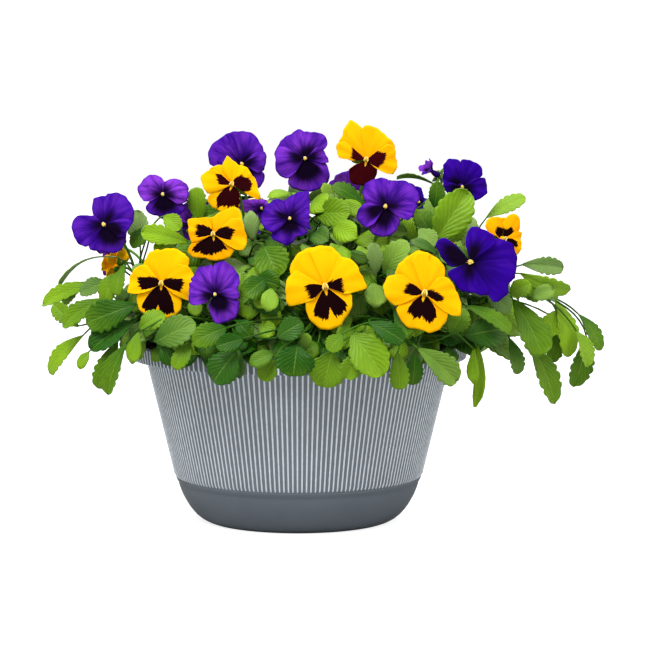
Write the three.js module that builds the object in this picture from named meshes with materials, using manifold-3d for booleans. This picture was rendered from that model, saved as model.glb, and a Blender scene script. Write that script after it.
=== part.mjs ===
// Potted pansy planter: a round moulded planter with fine upright ribs, filled with soil and planted with
// 26 leafy stems that carry 32 large pansies in yellow and purple.
// Millimetres, +Z up. The origin is the middle of the planter's underside, and the front is towards -Y.
import * as THREE from "three";
import { mergeVertices } from "three/addons/utils/BufferGeometryUtils.js";
import Module from "manifold-3d";

const wasm = await Module();
wasm.setup();

// Planter: a 12 inch rim, and heights in proportion to it.
const RIM_RADIUS = 152.5;
const POT_HEIGHT = 161;
const RIM_BOTTOM_Z = 147;
const WALL_TOP_RADIUS = 137.3;
const WALL_BOTTOM_RADIUS = 111.4;
const WALL_BOTTOM_Z = 39.2;
const FOOT_TOP_RADIUS = 108.6;
const FOOT_TOP_Z = 35.7;
const FOOT_RADIUS = 82;
const WALL = 3;
const FLOOR_Z = 5;
const RIBS = 180;
const RIB_DEPTH = 1;
const SMOOTH_SIDES = 36;
const DRAIN = { count: 6, radius: 5, ring: 58 };
const GAP = 0.35;

// Soil.
const SOIL_EDGE_Z = 150;
const SOIL_TOP_Z = 153;
const ROOTED = 22;

// Plants.
const STEM_RADIUS = 2.4;
const STEM_FOOT = 2.9;
const STEM_SIDES = 4;
const STALK_RADIUS = 1.6;
const PETIOLE = [0.8, 1.4];
const BLADE = 0.8;
const PETAL = 0.8;
const HUB_BACK = 7.2;
const CLEAR = 4.6;
const SIBLING_CLEAR = 3.2;
const PITCH = 4;
const PETIOLE_PITCH = 4;
const DISH = 0.12;
const TOOTHED = 25;
const SMALLEST = 15;

// The planting is described as somebody sees it from the front: how far across and how high on the upright
// plane through the planter's axis, and how far in front (-) or behind (+) that plane it stands.
const EYE = [22, -2500, 421];

const add = (a, b, k = 1) => [a[0] + b[0] * k, a[1] + b[1] * k, a[2] + b[2] * k];
const sub = (a, b) => add(a, b, -1);
const dot = (a, b) => a[0] * b[0] + a[1] * b[1] + a[2] * b[2];
const cross = (a, b) => [a[1] * b[2] - a[2] * b[1], a[2] * b[0] - a[0] * b[2], a[0] * b[1] - a[1] * b[0]];
const size = (a) => Math.sqrt(dot(a, a));
const unit = (a) => add([0, 0, 0], a, 1 / size(a));
const mix = (a, b, k) => add(a, sub(b, a), k);
const radians = (degrees) => (degrees * Math.PI) / 180;

function seen(across, height, depth) {
  const k = (depth - EYE[1]) / -EYE[1];
  return [EYE[0] + (across - EYE[0]) * k, depth, EYE[2] + (height - EYE[2]) * k];
}

let drawn = 2024;
function draw(low, high) {
  drawn = (drawn * 1664525 + 1013904223) % 4294967296;
  return low + ((high - low) * drawn) / 4294967296;
}

// Blooms: colour, leafy stem, across, height, depth of the eye, span, roll, yaw and pitch of the face.
const BLOOMS = [
  ["yellow", "front_middle", 24, 210, -150, 70, 10, 0, 6],
  ["yellow", "front_left", -123, 213, -118, 56, -4, -4, 6],
  ["yellow", "front_right", 113, 204, -150, 67, -12, 4, 10],
  ["yellow", "middle_left", -76, 257, -92, 52, 3, -8, 12],
  ["yellow", "upper_left", -59, 302, -58, 54, -22, -10, 6],
  ["yellow", "crown_right", 61, 324, -32, 56, -12, -8, 4],
  ["yellow", "side_right", 184, 253, -34, 48, -40, 25, 8],
  ["yellow", "side_left", -166, 228, 2, 34, 10, -125, 5],
  ["purple", "shoulder_left", -174, 266, -72, 57, 30, -6, 6],
  ["purple", "high_left", -121, 293, -38, 50, -3, -6, 4],
  ["purple", "crown_left", -51, 320, 6, 56, 25, 12, 6],
  ["purple", "crown", 6, 325, -4, 54, 15, 0, 6],
  ["purple", "middle", -8, 271, -86, 46, 0, 4, 12],
  ["purple", "upper_right", 78, 282, -82, 58, -12, -4, 8],
  ["purple", "high_right", 146, 300, -32, 47, 4, 10, -4],
  ["purple", "shoulder_right", 154, 232, -116, 74, -85, 6, 8],
  ["purple", "low_left", -75, 203, -143, 47, 20, 0, 8],
  ["purple", "upper_left", -34, 280, -26, 44, 8, 20, 10],
  ["purple", "crown_right", 107, 286, 22, 46, 0, 14, 10],
  ["purple", "high_right", 120, 313, -8, 30, 20, -60, 30],
  ["yellow", "back_left", -110, 235, 112, 56, 5, -145, 8],
  ["yellow", "back_middle", 20, 222, 150, 62, -8, 178, 8],
  ["yellow", "back_right", 138, 238, 106, 58, 10, 138, 8],
  ["yellow", "back_crown", -28, 276, 76, 54, 12, 170, 18],
  ["purple", "side_left", -172, 242, 56, 54, 10, -110, 8],
  ["purple", "back_low_left", -56, 228, 146, 56, -12, -165, 8],
  ["purple", "back_near_right", 80, 262, 138, 58, 10, 162, 10],
  ["purple", "back_side_right", 184, 222, 66, 60, 0, 112, 8],
  ["purple", "back_left", -96, 262, 66, 50, 0, -150, 16],
  ["purple", "back_crown", 50, 284, 72, 54, 18, 160, 16],
  ["purple", "back_middle", -14, 246, 118, 50, -6, 175, 14],
  ["purple", "back_side_right", 118, 262, 66, 50, -15, 150, 14],
];

// Leafy stems: name, across and depth of the root in the soil, and the top where no bloom sets it.
const STEMS = [
  ["front_middle", 12, -96],
  ["front_left", -72, -76],
  ["front_right", 62, -92],
  ["middle_left", -42, -52],
  ["upper_left", -26, -28],
  ["crown_right", 34, -4],
  ["side_right", 112, -18],
  ["side_left", -106, 18],
  ["shoulder_left", -104, -30],
  ["high_left", -72, -8],
  ["crown_left", -28, 14],
  ["crown", 4, -6],
  ["middle", -4, -52],
  ["upper_right", 44, -48],
  ["high_right", 78, -24],
  ["shoulder_right", 92, -66],
  ["low_left", -42, -92],
  ["back_left", -62, 60],
  ["back_middle", 6, 92],
  ["back_right", 82, 66],
  ["back_crown", 8, 44],
  ["back_low_left", -34, 92],
  ["back_near_right", 44, 84],
  ["back_side_right", 102, 30],
  ["spray_left", -100, -54, [-175, -86, 197]],
  ["spray_right", 107, -42, [215, -62, 208]],
];

// Large leaves of the front: across and height of the blade's base and of its tip, their two depths, the
// blade's width, how much it arches, and its turn about its own length.
const FRONT_LEAVES = [
  [-161, 236, -217, 217, -62, -44, 18, 0.22, 60],
  [-99, 250, -141, 259, -74, -88, 18, 0.1, 0],
  [-142, 250, -145, 279, -45, -45, 22, 0.05, 0],
  [-181, 211, -230, 194, -62, -44, 18, 0.15, 10],
  [-176, 199, -214, 176, -84, -80, 19, 0.12, 0],
  [-198, 174, -221, 194, -66, -58, 16, 0.1, -10],
  [-194, 166, -226, 132, -72, -62, 17, 0.2, 0],
  [-189, 151, -198, 136, -88, -90, 10, 0.1, 0],
  [-146, 194, -191, 177, -118, -116, 27, 0.15, -15],
  [-149, 178, -187, 153, -120, -122, 26, 0.12, 10],
  [-155, 159, -174, 113, -128, -132, 21, 0.12, 20],
  [-163, 160, -181, 118, -108, -112, 19, 0.15, -20],
  [-144, 169, -150, 140, -138, -142, 13, 0.1, 0],
  [-156, 230, -166, 203, -98, -104, 15, 0.1, 15],
  [-143, 174, -119, 190, -142, -140, 18, 0.1, 0],
  [-129, 160, -93, 177, -152, -160, 27, 0.12, 0],
  [-122, 158, -114, 139, -150, -152, 14, 0.1, 0],
  [-97, 158, -112, 136, -164, -168, 15, 0.1, 0],
  [-65, 173, -95, 160, -160, -168, 21, 0.15, 0],
  [-50, 163, -74, 156, -172, -178, 16, 0.12, -10],
  [-56, 151, -77, 124, -174, -174, 28, 0.15, 0],
  [-54, 153, -53, 127, -164, -166, 14, 0.1, 20],
  [-32, 187, -50, 208, -122, -126, 22, 0.1, 0],
  [-31, 246, -18, 219, -102, -116, 31, 0.12, 0],
  [-17, 185, -44, 210, -142, -142, 23, 0.1, 0],
  [-19, 164, 3, 178, -160, -164, 20, 0.12, 0],
  [5, 153, 7, 168, -166, -170, 11, 0.1, 0],
  [39, 167, 27, 152, -168, -172, 15, 0.1, 0],
  [30, 151, 22, 119, -174, -174, 31, 0.12, 0],
  [54, 149, 43, 127, -166, -168, 18, 0.1, 0],
  [-1, 157, -5, 129, -163, -166, 33, 0.12, 0],
  [-22, 150, -44, 140, -172, -176, 14, 0.12, 0],
  [-23, 144, -32, 125, -166, -168, 17, 0.1, 0],
  [48, 182, 29, 171, -156, -162, 16, 0.1, 0],
  [48, 167, 76, 130, -160, -170, 33, 0.14, 0],
  [63, 178, 95, 161, -166, -172, 18, 0.15, 0],
  [77, 221, 96, 250, -98, -112, 24, 0.15, -25],
  [125, 239, 101, 252, -92, -96, 12, 0.1, 20],
  [86, 189, 100, 163, -150, -160, 14, 0.12, 0],
  [89, 151, 91, 117, -168, -170, 17, 0.12, 0],
  [105, 150, 103, 121, -158, -160, 16, 0.1, 0],
  [108, 154, 143, 124, -152, -142, 24, 0.14, 0],
  [149, 166, 190, 173, -112, -98, 28, 0.14, 15],
  [151, 192, 192, 169, -108, -104, 16, 0.22, -10],
  [193, 198, 220, 148, -72, -84, 31, 0.12, 0],
  [229, 202, 248, 148, -42, -48, 25, 0.12, -8],
  [251, 186, 273, 153, -22, -24, 18, 0.14, 0],
  [259, 166, 249, 119, -38, -40, 22, 0.12, 10],
  [208, 158, 236, 104, -62, -66, 22, 0.15, -20],
  [190, 163, 198, 131, -78, -82, 15, 0.12, 0],
  [161, 156, 159, 101, -98, -100, 13, -0.2, 60],
  [158, 154, 157, 122, -112, -116, 11, 0.12, 45],
  [201, 230, 238, 227, -32, -34, 16, 0.2, 25],
  [199, 222, 244, 206, -48, -50, 18, 0.18, 60],
  [168, 272, 203, 291, -12, -14, 17, 0.1, -20],
  [122, 250, 152, 296, -78, -74, 32, 0.08, 0],
  [59, 284, 31, 302, -34, -36, 17, 0.1, 10],
  [123, 301, 88, 308, -50, -52, 15, 0.15, 65],
  [122, 281, 124, 304, -42, -42, 15, 0.1, 0],
  [29, 286, 23, 303, -8, -8, 14, 0.1, 20],
  [-7, 294, -28, 292, -30, -34, 13, 0.12, 30],
  [20, 268, 34, 291, -32, -36, 23, 0.1, 0],
  [-88, 266, -92, 299, -32, -34, 18, 0.1, 0],
  [-41, 250, -43, 278, -58, -60, 14, 0.1, 0],
  [69, 219, 66, 249, -112, -118, 15, 0.1, 20],
  [40, 241, 63, 233, -104, -110, 12, 0.1, 30],
  [148, 247, 156, 273, -54, -52, 17, 0.1, 0],
  [190, 203, 208, 213, -80, -84, 16, 0.1, 0],
  [225, 185, 243, 166, -24, -20, 19, 0.1, 0],
  [209, 200, 230, 208, -62, -60, 14, 0.1, 0],
  [137, 167, 149, 190, -126, -126, 20, 0.1, 0],
];

// Leaves that no front view places: how many are tried, and the mound that they cover.
const CROWD = 150;
const CROWD_KEPT = 26;
const MOUND = { centre: [8, 0, 168], right: 205, left: 185, front: 168, back: 198, top: 128 };

// A bloom's own axes: n the way it faces, and right and up on its face.
function faceOf(roll, yaw, pitch) {
  const [r, y, p] = [radians(roll), radians(yaw), radians(pitch)];
  const n = [Math.sin(y) * Math.cos(p), -Math.cos(y) * Math.cos(p), Math.sin(p)];
  const lifted = unit(sub([0, 0, 1], add([0, 0, 0], n, n[2])));
  const level = cross(lifted, n);
  const right = add(add([0, 0, 0], level, Math.cos(r)), lifted, Math.sin(r));
  return { n, right, up: cross(n, right) };
}

const blooms = BLOOMS.map(([colour, stem, across, height, depth, span, roll, yaw, pitch], index) => {
  const face = faceOf(roll, yaw, pitch);
  const eye = depth < 30 ? seen(across, height, depth) : [across, depth, height];
  return { colour, stem, index, eye, reach: span / 2, ...face };
});

const quadratic = (a, b, c, t) => mix(mix(a, b, t), mix(b, c, t), t);
const cubic = (a, b, c, d, t) => mix(quadratic(a, b, c, t), quadratic(b, c, d, t), t);

// A leafy stem rises from its root and leans towards its first bloom, which its stalk then goes on to.
const stems = STEMS.map(([name, x, y, given]) => {
  const root = [x, y, SOIL_TOP_Z + 4];
  const carried = blooms.filter((b) => b.stem === name);
  const share = carried.length ? 0.62 : 1;
  const end = given || mix(root, carried[0].eye, share);
  const top = given ? end : [end[0], end[1], root[2] + (carried[0].eye[2] - root[2]) * 0.55];
  const steep = given ? 1.15 : 0.6;
  const knee = [x + (top[0] - x) * 0.2, y + (top[1] - y) * 0.2, root[2] + (top[2] - root[2]) * steep];
  const stalks = carried.map((bloom, order) => {
    const start = quadratic(root, knee, top, order ? 0.7 : 0.97);
    const seat = add(bloom.eye, bloom.n, -HUB_BACK - 0.3);
    const rise = Math.max(10, 0.45 * size(sub(seat, start)));
    const hook = add(add(seat, bloom.n, -17), [0, 0, 1], 5);
    return { start, lift: add(start, [0, 0, 1], rise), hook, seat, facing: bloom.n };
  });
  return { name, root, knee, top, stalks, taken: new Set() };
});

// A leaf blade: its own axes, and below the place of a point u across (-1 to 1) and v along (0 to 1).
function bladeOf(base, tip, width, arch, turn) {
  const along = sub(tip, base);
  const length = size(along);
  const t = unit(along);
  const middle = mix(base, tip, 0.5);
  const inFront = middle[1] < 30;
  const facing = [middle[0] / (inFront ? 420 : 190), middle[1] / 190 + (inFront ? -0.6 : 0.2), 0.5];
  const flat = unit(sub(facing, add([0, 0, 0], t, dot(facing, t))));
  const side0 = cross(t, flat);
  const a = radians(turn);
  const n = add(add([0, 0, 0], flat, Math.cos(a)), side0, Math.sin(a));
  return { base, tip, t, n, side: cross(t, n), length, width, arch };
}

// Broad leaves are widest near the middle, and long ones further out, with a blunt end.
function halfWidth(blade, v) {
  const [skew, blunt] = blade.length > 1.7 * blade.width ? [1.5, 0.62] : [1.15, 0.7];
  const share = Math.pow(Math.max(0, Math.sin(Math.PI * Math.pow(v, skew))), blunt);
  return PETIOLE[0] + (blade.width / 2 - PETIOLE[0]) * share;
}

function onBlade(blade, u, v) {
  const w = halfWidth(blade, v);
  const bow = blade.arch * blade.length * 2.4 * v * (1 - v) + DISH * w * Math.abs(u);
  return add(add(add(blade.base, blade.t, blade.length * v), blade.side, u * w), blade.n, bow);
}

// Everything placed so far, in cells, so that a new leaf can be kept clear of it.
const cells = new Map();
const cellOf = (p) => p.map((x) => Math.floor(x / CLEAR));
function remember(points, owner, besideOwn = 0) {
  for (const p of points) {
    const key = cellOf(p).join();
    if (!cells.has(key)) cells.set(key, []);
    cells.get(key).push([p, owner, besideOwn]);
  }
}
function isClear(points, owner) {
  return points.every((p) => {
    const [i, j, k] = cellOf(p);
    for (let a = i - 1; a <= i + 1; a++)
      for (let b = j - 1; b <= j + 1; b++)
        for (let c = k - 1; c <= k + 1; c++)
          for (const [q, its, besideOwn] of cells.get([a, b, c].join()) || [])
            if (size(sub(p, q)) < (its === owner ? besideOwn : CLEAR)) return false;
    return true;
  });
}

function curvePoints(at, length, pitch = PITCH) {
  const steps = Math.max(2, Math.ceil(length / pitch));
  return Array.from({ length: steps + 1 }, (_, i) => at(i / steps));
}

function bladePoints(blade) {
  const rows = Math.ceil(blade.length / PITCH);
  const columns = Math.max(2, Math.ceil(blade.width / PITCH));
  const points = [];
  for (let i = 1; i <= rows; i++)
    for (let j = 0; j <= columns; j++) points.push(onBlade(blade, (2 * j) / columns - 1, i / rows));
  return points;
}

// Above the rim, or outside it: a blade never reaches into the soil or the planter.
const overPlanter = (p) => p[2] > POT_HEIGHT + 3 || Math.hypot(p[0], p[1]) > RIM_RADIUS + 3;
const overSoil = (p) => p[2] > POT_HEIGHT + 2 || (p[2] > SOIL_TOP_Z + 2 && Math.hypot(p[0], p[1]) < 130);

// A petiole runs from the stem to the blade's base, which it meets in line.
function petioleOf(start, blade) {
  const reach = size(sub(blade.base, start));
  const bend = add(add(blade.base, blade.t, -0.45 * reach), [0, 0, 1], 0.05 * reach);
  return { start, bend, reach };
}

// A bloom's points are a disc a little smaller than its petals.
function bloomPoints(bloom) {
  const points = [];
  const steps = Math.ceil(bloom.reach / PITCH);
  for (let i = -steps; i <= steps; i++)
    for (let j = -steps; j <= steps; j++) {
      const [x, y] = [(i / steps) * bloom.reach, (j / steps) * bloom.reach];
      if (Math.hypot(x, y) <= bloom.reach) points.push(add(add(bloom.eye, bloom.right, x), bloom.up, y));
    }
  return points;
}

const BLOOM_OWNER = 1000;
blooms.forEach((bloom, i) => remember(bloomPoints(bloom), BLOOM_OWNER + i));
stems.forEach((stem, i) => {
  const tall = size(sub(stem.top, stem.root));
  remember(curvePoints((t) => quadratic(stem.root, stem.knee, stem.top, t), tall * 1.1), i);
  for (const s of stem.stalks) {
    const far = size(sub(s.seat, s.start));
    remember(curvePoints((t) => cubic(s.start, s.lift, s.hook, s.seat, 0.9 * t), far * 1.2), i);
  }
});

// A leaf joins the nearest stem that its petiole reaches without crossing anything else.
const JOINTS = [0.28, 0.34, 0.4, 0.54, 0.6, 0.66, 0.8, 0.86, 0.92, 0.96];
const LONGEST_PETIOLE = 95;
const BLADE_OWNER = -1;
const LEAF_OWNER = 2000;
const leaves = [];
function attach(blade) {
  const points = bladePoints(blade);
  if (!points.every(overPlanter) || !isClear(points, BLADE_OWNER)) return false;
  const offers = [];
  stems.forEach((stem, owner) => {
    for (const share of JOINTS.filter((j) => !stem.taken.has(j))) {
      const start = quadratic(stem.root, stem.knee, stem.top, share);
      const petiole = petioleOf(start, blade);
      const turned = dot(unit(sub(blade.base, start)), blade.t);
      const rising = unit(sub(mix(stem.knee, stem.top, share), mix(stem.root, stem.knee, share)));
      const leaving = Math.abs(dot(unit(sub(petiole.bend, start)), rising)) < 0.85;
      if (leaving && petiole.reach > 9 && petiole.reach < LONGEST_PETIOLE)
        offers.push({ owner, share, petiole, cost: petiole.reach * (1.6 - turned) });
    }
  });
  offers.sort((a, b) => a.cost - b.cost);
  for (const { owner, share, petiole } of offers.slice(0, 40)) {
    const { start, bend, reach } = petiole;
    const path = curvePoints((t) => quadratic(start, bend, blade.base, t), reach, PETIOLE_PITCH);
    if (path.every(overSoil) && isClear(path, owner)) {
      remember(path.slice(1, 4), owner, SIBLING_CLEAR);
      remember(path.slice(4), LEAF_OWNER);
      stems[owner].taken.add(share);
      remember(points, LEAF_OWNER);
      leaves.push({ blade, petiole, owner });
      return true;
    }
  }
  return false;
}

const SHIFTS = [0, -6, 6, -12, 12, -18, 18, -24, 24, -32, 32];
for (const [ax, az, bx, bz, depthA, depthB, width, arch, turn] of FRONT_LEAVES) {
  if (width < SMALLEST) continue;
  SHIFTS.some((shift) => {
    const base = seen(ax, az, depthA + shift);
    const tip = seen(bx, bz, depthB + shift);
    return attach(bladeOf(base, tip, width, arch, turn));
  });
}

// The other leaves lie evenly over the mound, tips outwards and drooping, wherever there is room.
const GOLDEN = 0.6180339887;
const frontCount = leaves.length;
for (let k = 0; k < CROWD && leaves.length < frontCount + CROWD_KEPT; k++) {
  const around = 2 * Math.PI * ((k * GOLDEN) % 1);
  const rise = -0.22 + 1.15 * ((k * GOLDEN * GOLDEN * 7.13) % 1);
  for (let attempt = 0; attempt < 4; attempt++) {
    const azimuth = around + draw(-0.12, 0.12);
    const up = Math.min(0.97, rise + draw(-0.05, 0.05));
    const out = Math.sqrt(1 - up * up) * draw(0.86, 0.98);
    const [dx, dy] = [Math.cos(azimuth), Math.sin(azimuth)];
    const tip = [
      MOUND.centre[0] + dx * out * (dx > 0 ? MOUND.right : MOUND.left),
      MOUND.centre[1] + dy * out * (dy < 0 ? MOUND.front : MOUND.back),
      MOUND.centre[2] + up * MOUND.top,
    ];
    const lean = draw(-0.7, 0.7);
    const t = unit([dx - dy * lean, dy + dx * lean, 0.55 * up - draw(0.35, 0.9)]);
    const width = draw(20, 32);
    const base = add(tip, t, -draw(1.25, 1.6) * width);
    if (attach(bladeOf(base, tip, width, draw(0.1, 0.18), draw(-20, 20)))) break;
  }
}

// Solids.
function solidOf(points, faces) {
  return new wasm.Manifold(
    new wasm.Mesh({
      numProp: 3,
      vertProperties: new Float32Array(points.flat()),
      triVerts: new Uint32Array(faces.flat()),
    }),
  );
}

// Rings of points joined one to the next. Each ring runs once round, and may have its own number of points.
// A ring of one point closes an end.
function ringed(rings) {
  const points = [];
  const faces = [];
  const starts = rings.map((ring) => {
    const first = points.length;
    points.push(...ring);
    return first;
  });
  for (let r = 0; r + 1 < rings.length; r++) {
    const [n, m] = [rings[r].length, rings[r + 1].length];
    const a = (i) => starts[r] + (i % n);
    const b = (j) => starts[r + 1] + (j % m);
    let [i, j] = [0, 0];
    while (i < n || j < m) {
      const nextA = n > 1 && (m === 1 || j === m || (i < n && (i + 1) * m <= (j + 1) * n));
      if (nextA) {
        faces.push([a(i), a(i + 1), b(j)]);
        i += 1;
        if (m === 1 && i === n) break;
      } else {
        faces.push([a(i), b(j + 1), b(j)]);
        j += 1;
        if (n === 1 && j === m) break;
      }
    }
  }
  return solidOf(points, faces);
}

const ring = (count, z, radiusAt) =>
  Array.from({ length: count }, (_, i) => {
    const a = (2 * Math.PI * i) / count;
    return [radiusAt(i) * Math.cos(a), radiusAt(i) * Math.sin(a), z];
  });
const smooth = (radius, z, count = SMOOTH_SIDES) => ring(count, z, () => radius);
const ribbed = (radius, z) => ring(2 * RIBS, z, (i) => radius - (i % 2) * RIB_DEPTH);
const centre = (z) => [[0, 0, z]];

// A prism or a tube with flat ends, along the given points. The last end may be turned to face another way.
function tube(points, radii, sides, endFacing) {
  const rings = points.map((p, i) => {
    const before = points[Math.max(0, i - 1)];
    const after = points[Math.min(points.length - 1, i + 1)];
    const upright = i < 2 && points[0][0] === points[1][0] && points[0][1] === points[1][1];
    const ends = i + 1 === points.length && endFacing;
    const t = ends ? endFacing : upright ? [0, 0, 1] : unit(sub(after, before));
    const reference = Math.abs(t[0]) > 0.9 ? [0, 1, 0] : [1, 0, 0];
    const e1 = unit(sub(reference, add([0, 0, 0], t, dot(reference, t))));
    const e2 = cross(t, e1);
    return Array.from({ length: sides }, (_, k) => {
      const a = (2 * Math.PI * k) / sides;
      return add(add(p, e1, radii[i] * Math.cos(a)), e2, radii[i] * Math.sin(a));
    });
  });
  return capped(rings);
}

// Rings of equal count, with a flat end at each side.
function capped(rings) {
  const n = rings[0].length;
  const faces = [];
  for (let r = 0; r + 1 < rings.length; r++)
    for (let k = 0; k < n; k++) {
      const [p, q] = [r * n + k, r * n + ((k + 1) % n)];
      faces.push([p, q, q + n], [p, q + n, p + n]);
    }
  const last = (rings.length - 1) * n;
  for (let k = 1; k + 1 < n; k++) faces.push([0, k + 1, k], [last, last + k, last + k + 1]);
  return solidOf(rings.flat(), faces);
}

const drainHoles = Array.from({ length: DRAIN.count }, (_, i) => {
  const a = (2 * Math.PI * (i + 0.5)) / DRAIN.count;
  const [x, y] = [DRAIN.ring * Math.cos(a), DRAIN.ring * Math.sin(a)];
  return tube([[x, y, -2], [x, y, FLOOR_Z + 2]], [DRAIN.radius, DRAIN.radius], 6);
});

const LEDGE_Z = RIM_BOTTOM_Z + WALL;
const slope = (WALL_TOP_RADIUS - WALL_BOTTOM_RADIUS) / (RIM_BOTTOM_Z - WALL_BOTTOM_Z);
const innerRadius = (z) => WALL_TOP_RADIUS - WALL - RIB_DEPTH - slope * (RIM_BOTTOM_Z - z);
const INNER_RIM = RIM_RADIUS - WALL - RIB_DEPTH - 0.8;
const pot = drainHoles.reduce(
  (solid, hole) => solid.subtract(hole),
  ringed([
    centre(0),
    smooth(FOOT_RADIUS, 0),
    smooth(89, 3.4),
    smooth(96.5, 10.6),
    smooth(102, 19),
    smooth(106.5, 28.5),
    smooth(FOOT_TOP_RADIUS, FOOT_TOP_Z),
    ribbed(WALL_BOTTOM_RADIUS, WALL_BOTTOM_Z),
    ribbed(WALL_TOP_RADIUS, RIM_BOTTOM_Z),
    ribbed(RIM_RADIUS - 1.5, RIM_BOTTOM_Z),
    ribbed(RIM_RADIUS, POT_HEIGHT),
    smooth(INNER_RIM, POT_HEIGHT),
    smooth(INNER_RIM - 0.8, LEDGE_Z),
    smooth(innerRadius(LEDGE_Z), LEDGE_Z),
    smooth(innerRadius(45), 45),
    smooth(97, 24),
    smooth(84, FLOOR_Z),
    centre(FLOOR_Z),
  ]),
);

// The soil fills the planter to just under its rim, with a plain hole for every stem.
const EDGE = GAP / Math.cos(Math.PI / SMOOTH_SIDES) + 0.1;
const HOLE_GAP = GAP / Math.cos(Math.PI / STEM_SIDES);
const soil = stems.reduce(
  (solid, { root }) =>
    solid.subtract(
      tube(
        [[root[0], root[1], SOIL_EDGE_Z - ROOTED - GAP], [root[0], root[1], SOIL_TOP_Z + 9]],
        [STEM_FOOT + HOLE_GAP, STEM_FOOT + HOLE_GAP],
        STEM_SIDES,
      ),
    ),
  ringed([
    centre(FLOOR_Z + GAP),
    smooth(83.8 - EDGE, FLOOR_Z + GAP),
    smooth(96.9 - EDGE, 24 + GAP),
    smooth(innerRadius(45) - EDGE, 45),
    smooth(innerRadius(LEDGE_Z) - EDGE, LEDGE_Z + GAP),
    smooth(INNER_RIM - 0.8 - EDGE, LEDGE_Z + GAP),
    smooth(INNER_RIM - 0.8 - EDGE, SOIL_EDGE_Z + 2.5),
    smooth(84, SOIL_TOP_Z + 1, 12),
    centre(SOIL_TOP_Z + 2),
  ]),
);

// A thin strip through cross sections of four corners: left and right below, then right and left above.
// It may start at a point, and end in an edge, below and above. Both faces are split alike.
function strip(sections) {
  const faces = [];
  let first = 0;
  for (let i = 0; i + 1 < sections.length; i++) {
    const [n, m] = [sections[i].length, sections[i + 1].length];
    const [a, b, c, d] = n === 1 ? [first, first, first, first] : [first, first + 1, first + 2, first + 3];
    const next = first + n;
    const [p, q, r, z] = m === 2 ? [next, next, next + 1, next + 1] : [next, next + 1, next + 2, next + 3];
    faces.push([d, c, r], [d, r, z], [a, q, b], [a, p, q], [b, q, r], [b, r, c], [a, d, z], [a, z, p]);
    first = next;
  }
  if (sections[0].length === 4) faces.push([0, 1, 2], [0, 2, 3]);
  if (sections.at(-1).length === 4)
    faces.push([first, first + 3, first + 2], [first, first + 2, first + 1]);
  return solidOf(sections.flat(), faces.filter(([i, j, k]) => i !== j && j !== k && k !== i));
}

const CORNERS = [[-1, -1], [1, -1], [1, 1], [-1, 1]];
const corners = (middle, side, n, half, thick) =>
  CORNERS.map(([u, w]) => add(add(middle, side, u * half), n, (w * thick) / 2));

// Along a blade: where its cross sections lie, and how much wider or narrower than the plain outline they are.
const TOOTHED_CUTS = [[0, 1], [0.3, 1.02], [0.52, 1.05], [0.6, 0.8], [0.84, 1]];
const PLAIN_CUTS = [[0, 1], [0.36, 1], [0.74, 1.02]];

// A leaf: a petiole that grows from inside the stem, and a blade whose edge is cut by a blunt tooth a side.
function leafSolid({ blade, petiole }) {
  const at = (t) => quadratic(petiole.start, petiole.bend, blade.base, t);
  const stalk = (petiole.reach > 26 ? [0, 0.55] : [0]).map((t) => {
    const p = unit(sub(at(t + 0.02), at(t)));
    const side = unit(sub(blade.side, add([0, 0, 0], p, dot(blade.side, p))));
    return corners(at(t), side, cross(side, p), ...PETIOLE);
  });
  const cuts = blade.width > TOOTHED ? TOOTHED_CUTS : PLAIN_CUTS;
  const sections = cuts.map(([v, widen]) => {
    const half = halfWidth(blade, v) * widen;
    return corners(add(onBlade(blade, 0, v), blade.n, (DISH * half) / 2), blade.side, blade.n, half, BLADE);
  });
  const tip = corners(blade.tip, blade.side, blade.n, 0, BLADE).slice(1, 3);
  return strip([...stalk, ...sections, tip]);
}

function stemSolid(stem) {
  const { root, knee, top } = stem;
  const bottom = [root[0], root[1], SOIL_EDGE_Z - ROOTED];
  const path = [bottom, root, ...[0.22, 0.47, 0.73, 1].map((t) => quadratic(root, knee, top, t))];
  const radii = [STEM_FOOT, STEM_FOOT, STEM_RADIUS + 0.3, STEM_RADIUS, STEM_RADIUS, STEM_RADIUS - 0.2];
  const pieces = [tube(path, radii, STEM_SIDES)];
  for (const { start, lift, hook, seat, facing } of stem.stalks) {
    const along = [0, 0.3, 0.6, 0.85, 1].map((t) => cubic(start, lift, hook, seat, t));
    pieces.push(tube(along, along.map((_, i) => (i < 4 ? STALK_RADIUS : 2.4)), 3, facing));
  }
  for (const leaf of leaves) if (stems[leaf.owner] === stem) pieces.push(leafSolid(leaf));
  return pieces.reduce((all, piece) => all.add(piece));
}

// Petals of a bloom, as shares of its reach: the way each points, its length and width, how far it lies in
// front of the bloom's middle in mm, and the notch at its end.
const PETALS = [
  [112, 1.13, 1.15, -3.6, 0],
  [68, 1.13, 1.15, -1.8, 0],
  [270, 0.98, 1.22, 0, 0.07],
  [172, 1.03, 1.0, 1.8, 0],
  [8, 1.03, 1.0, 1.8, 0],
];

// A petal's face curls back towards its rim and is waved there.
function onBloom(bloom, x, y, lift) {
  const rho = Math.hypot(x, y) / bloom.reach;
  const wave = 0.9 * Math.pow(rho, 4) * Math.sin(7 * Math.atan2(y, x) + bloom.index * 1.7);
  const z = lift - 1.6 * rho * rho + wave;
  return add(add(add(bloom.eye, bloom.right, x), bloom.up, y), bloom.n, z);
}

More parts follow.
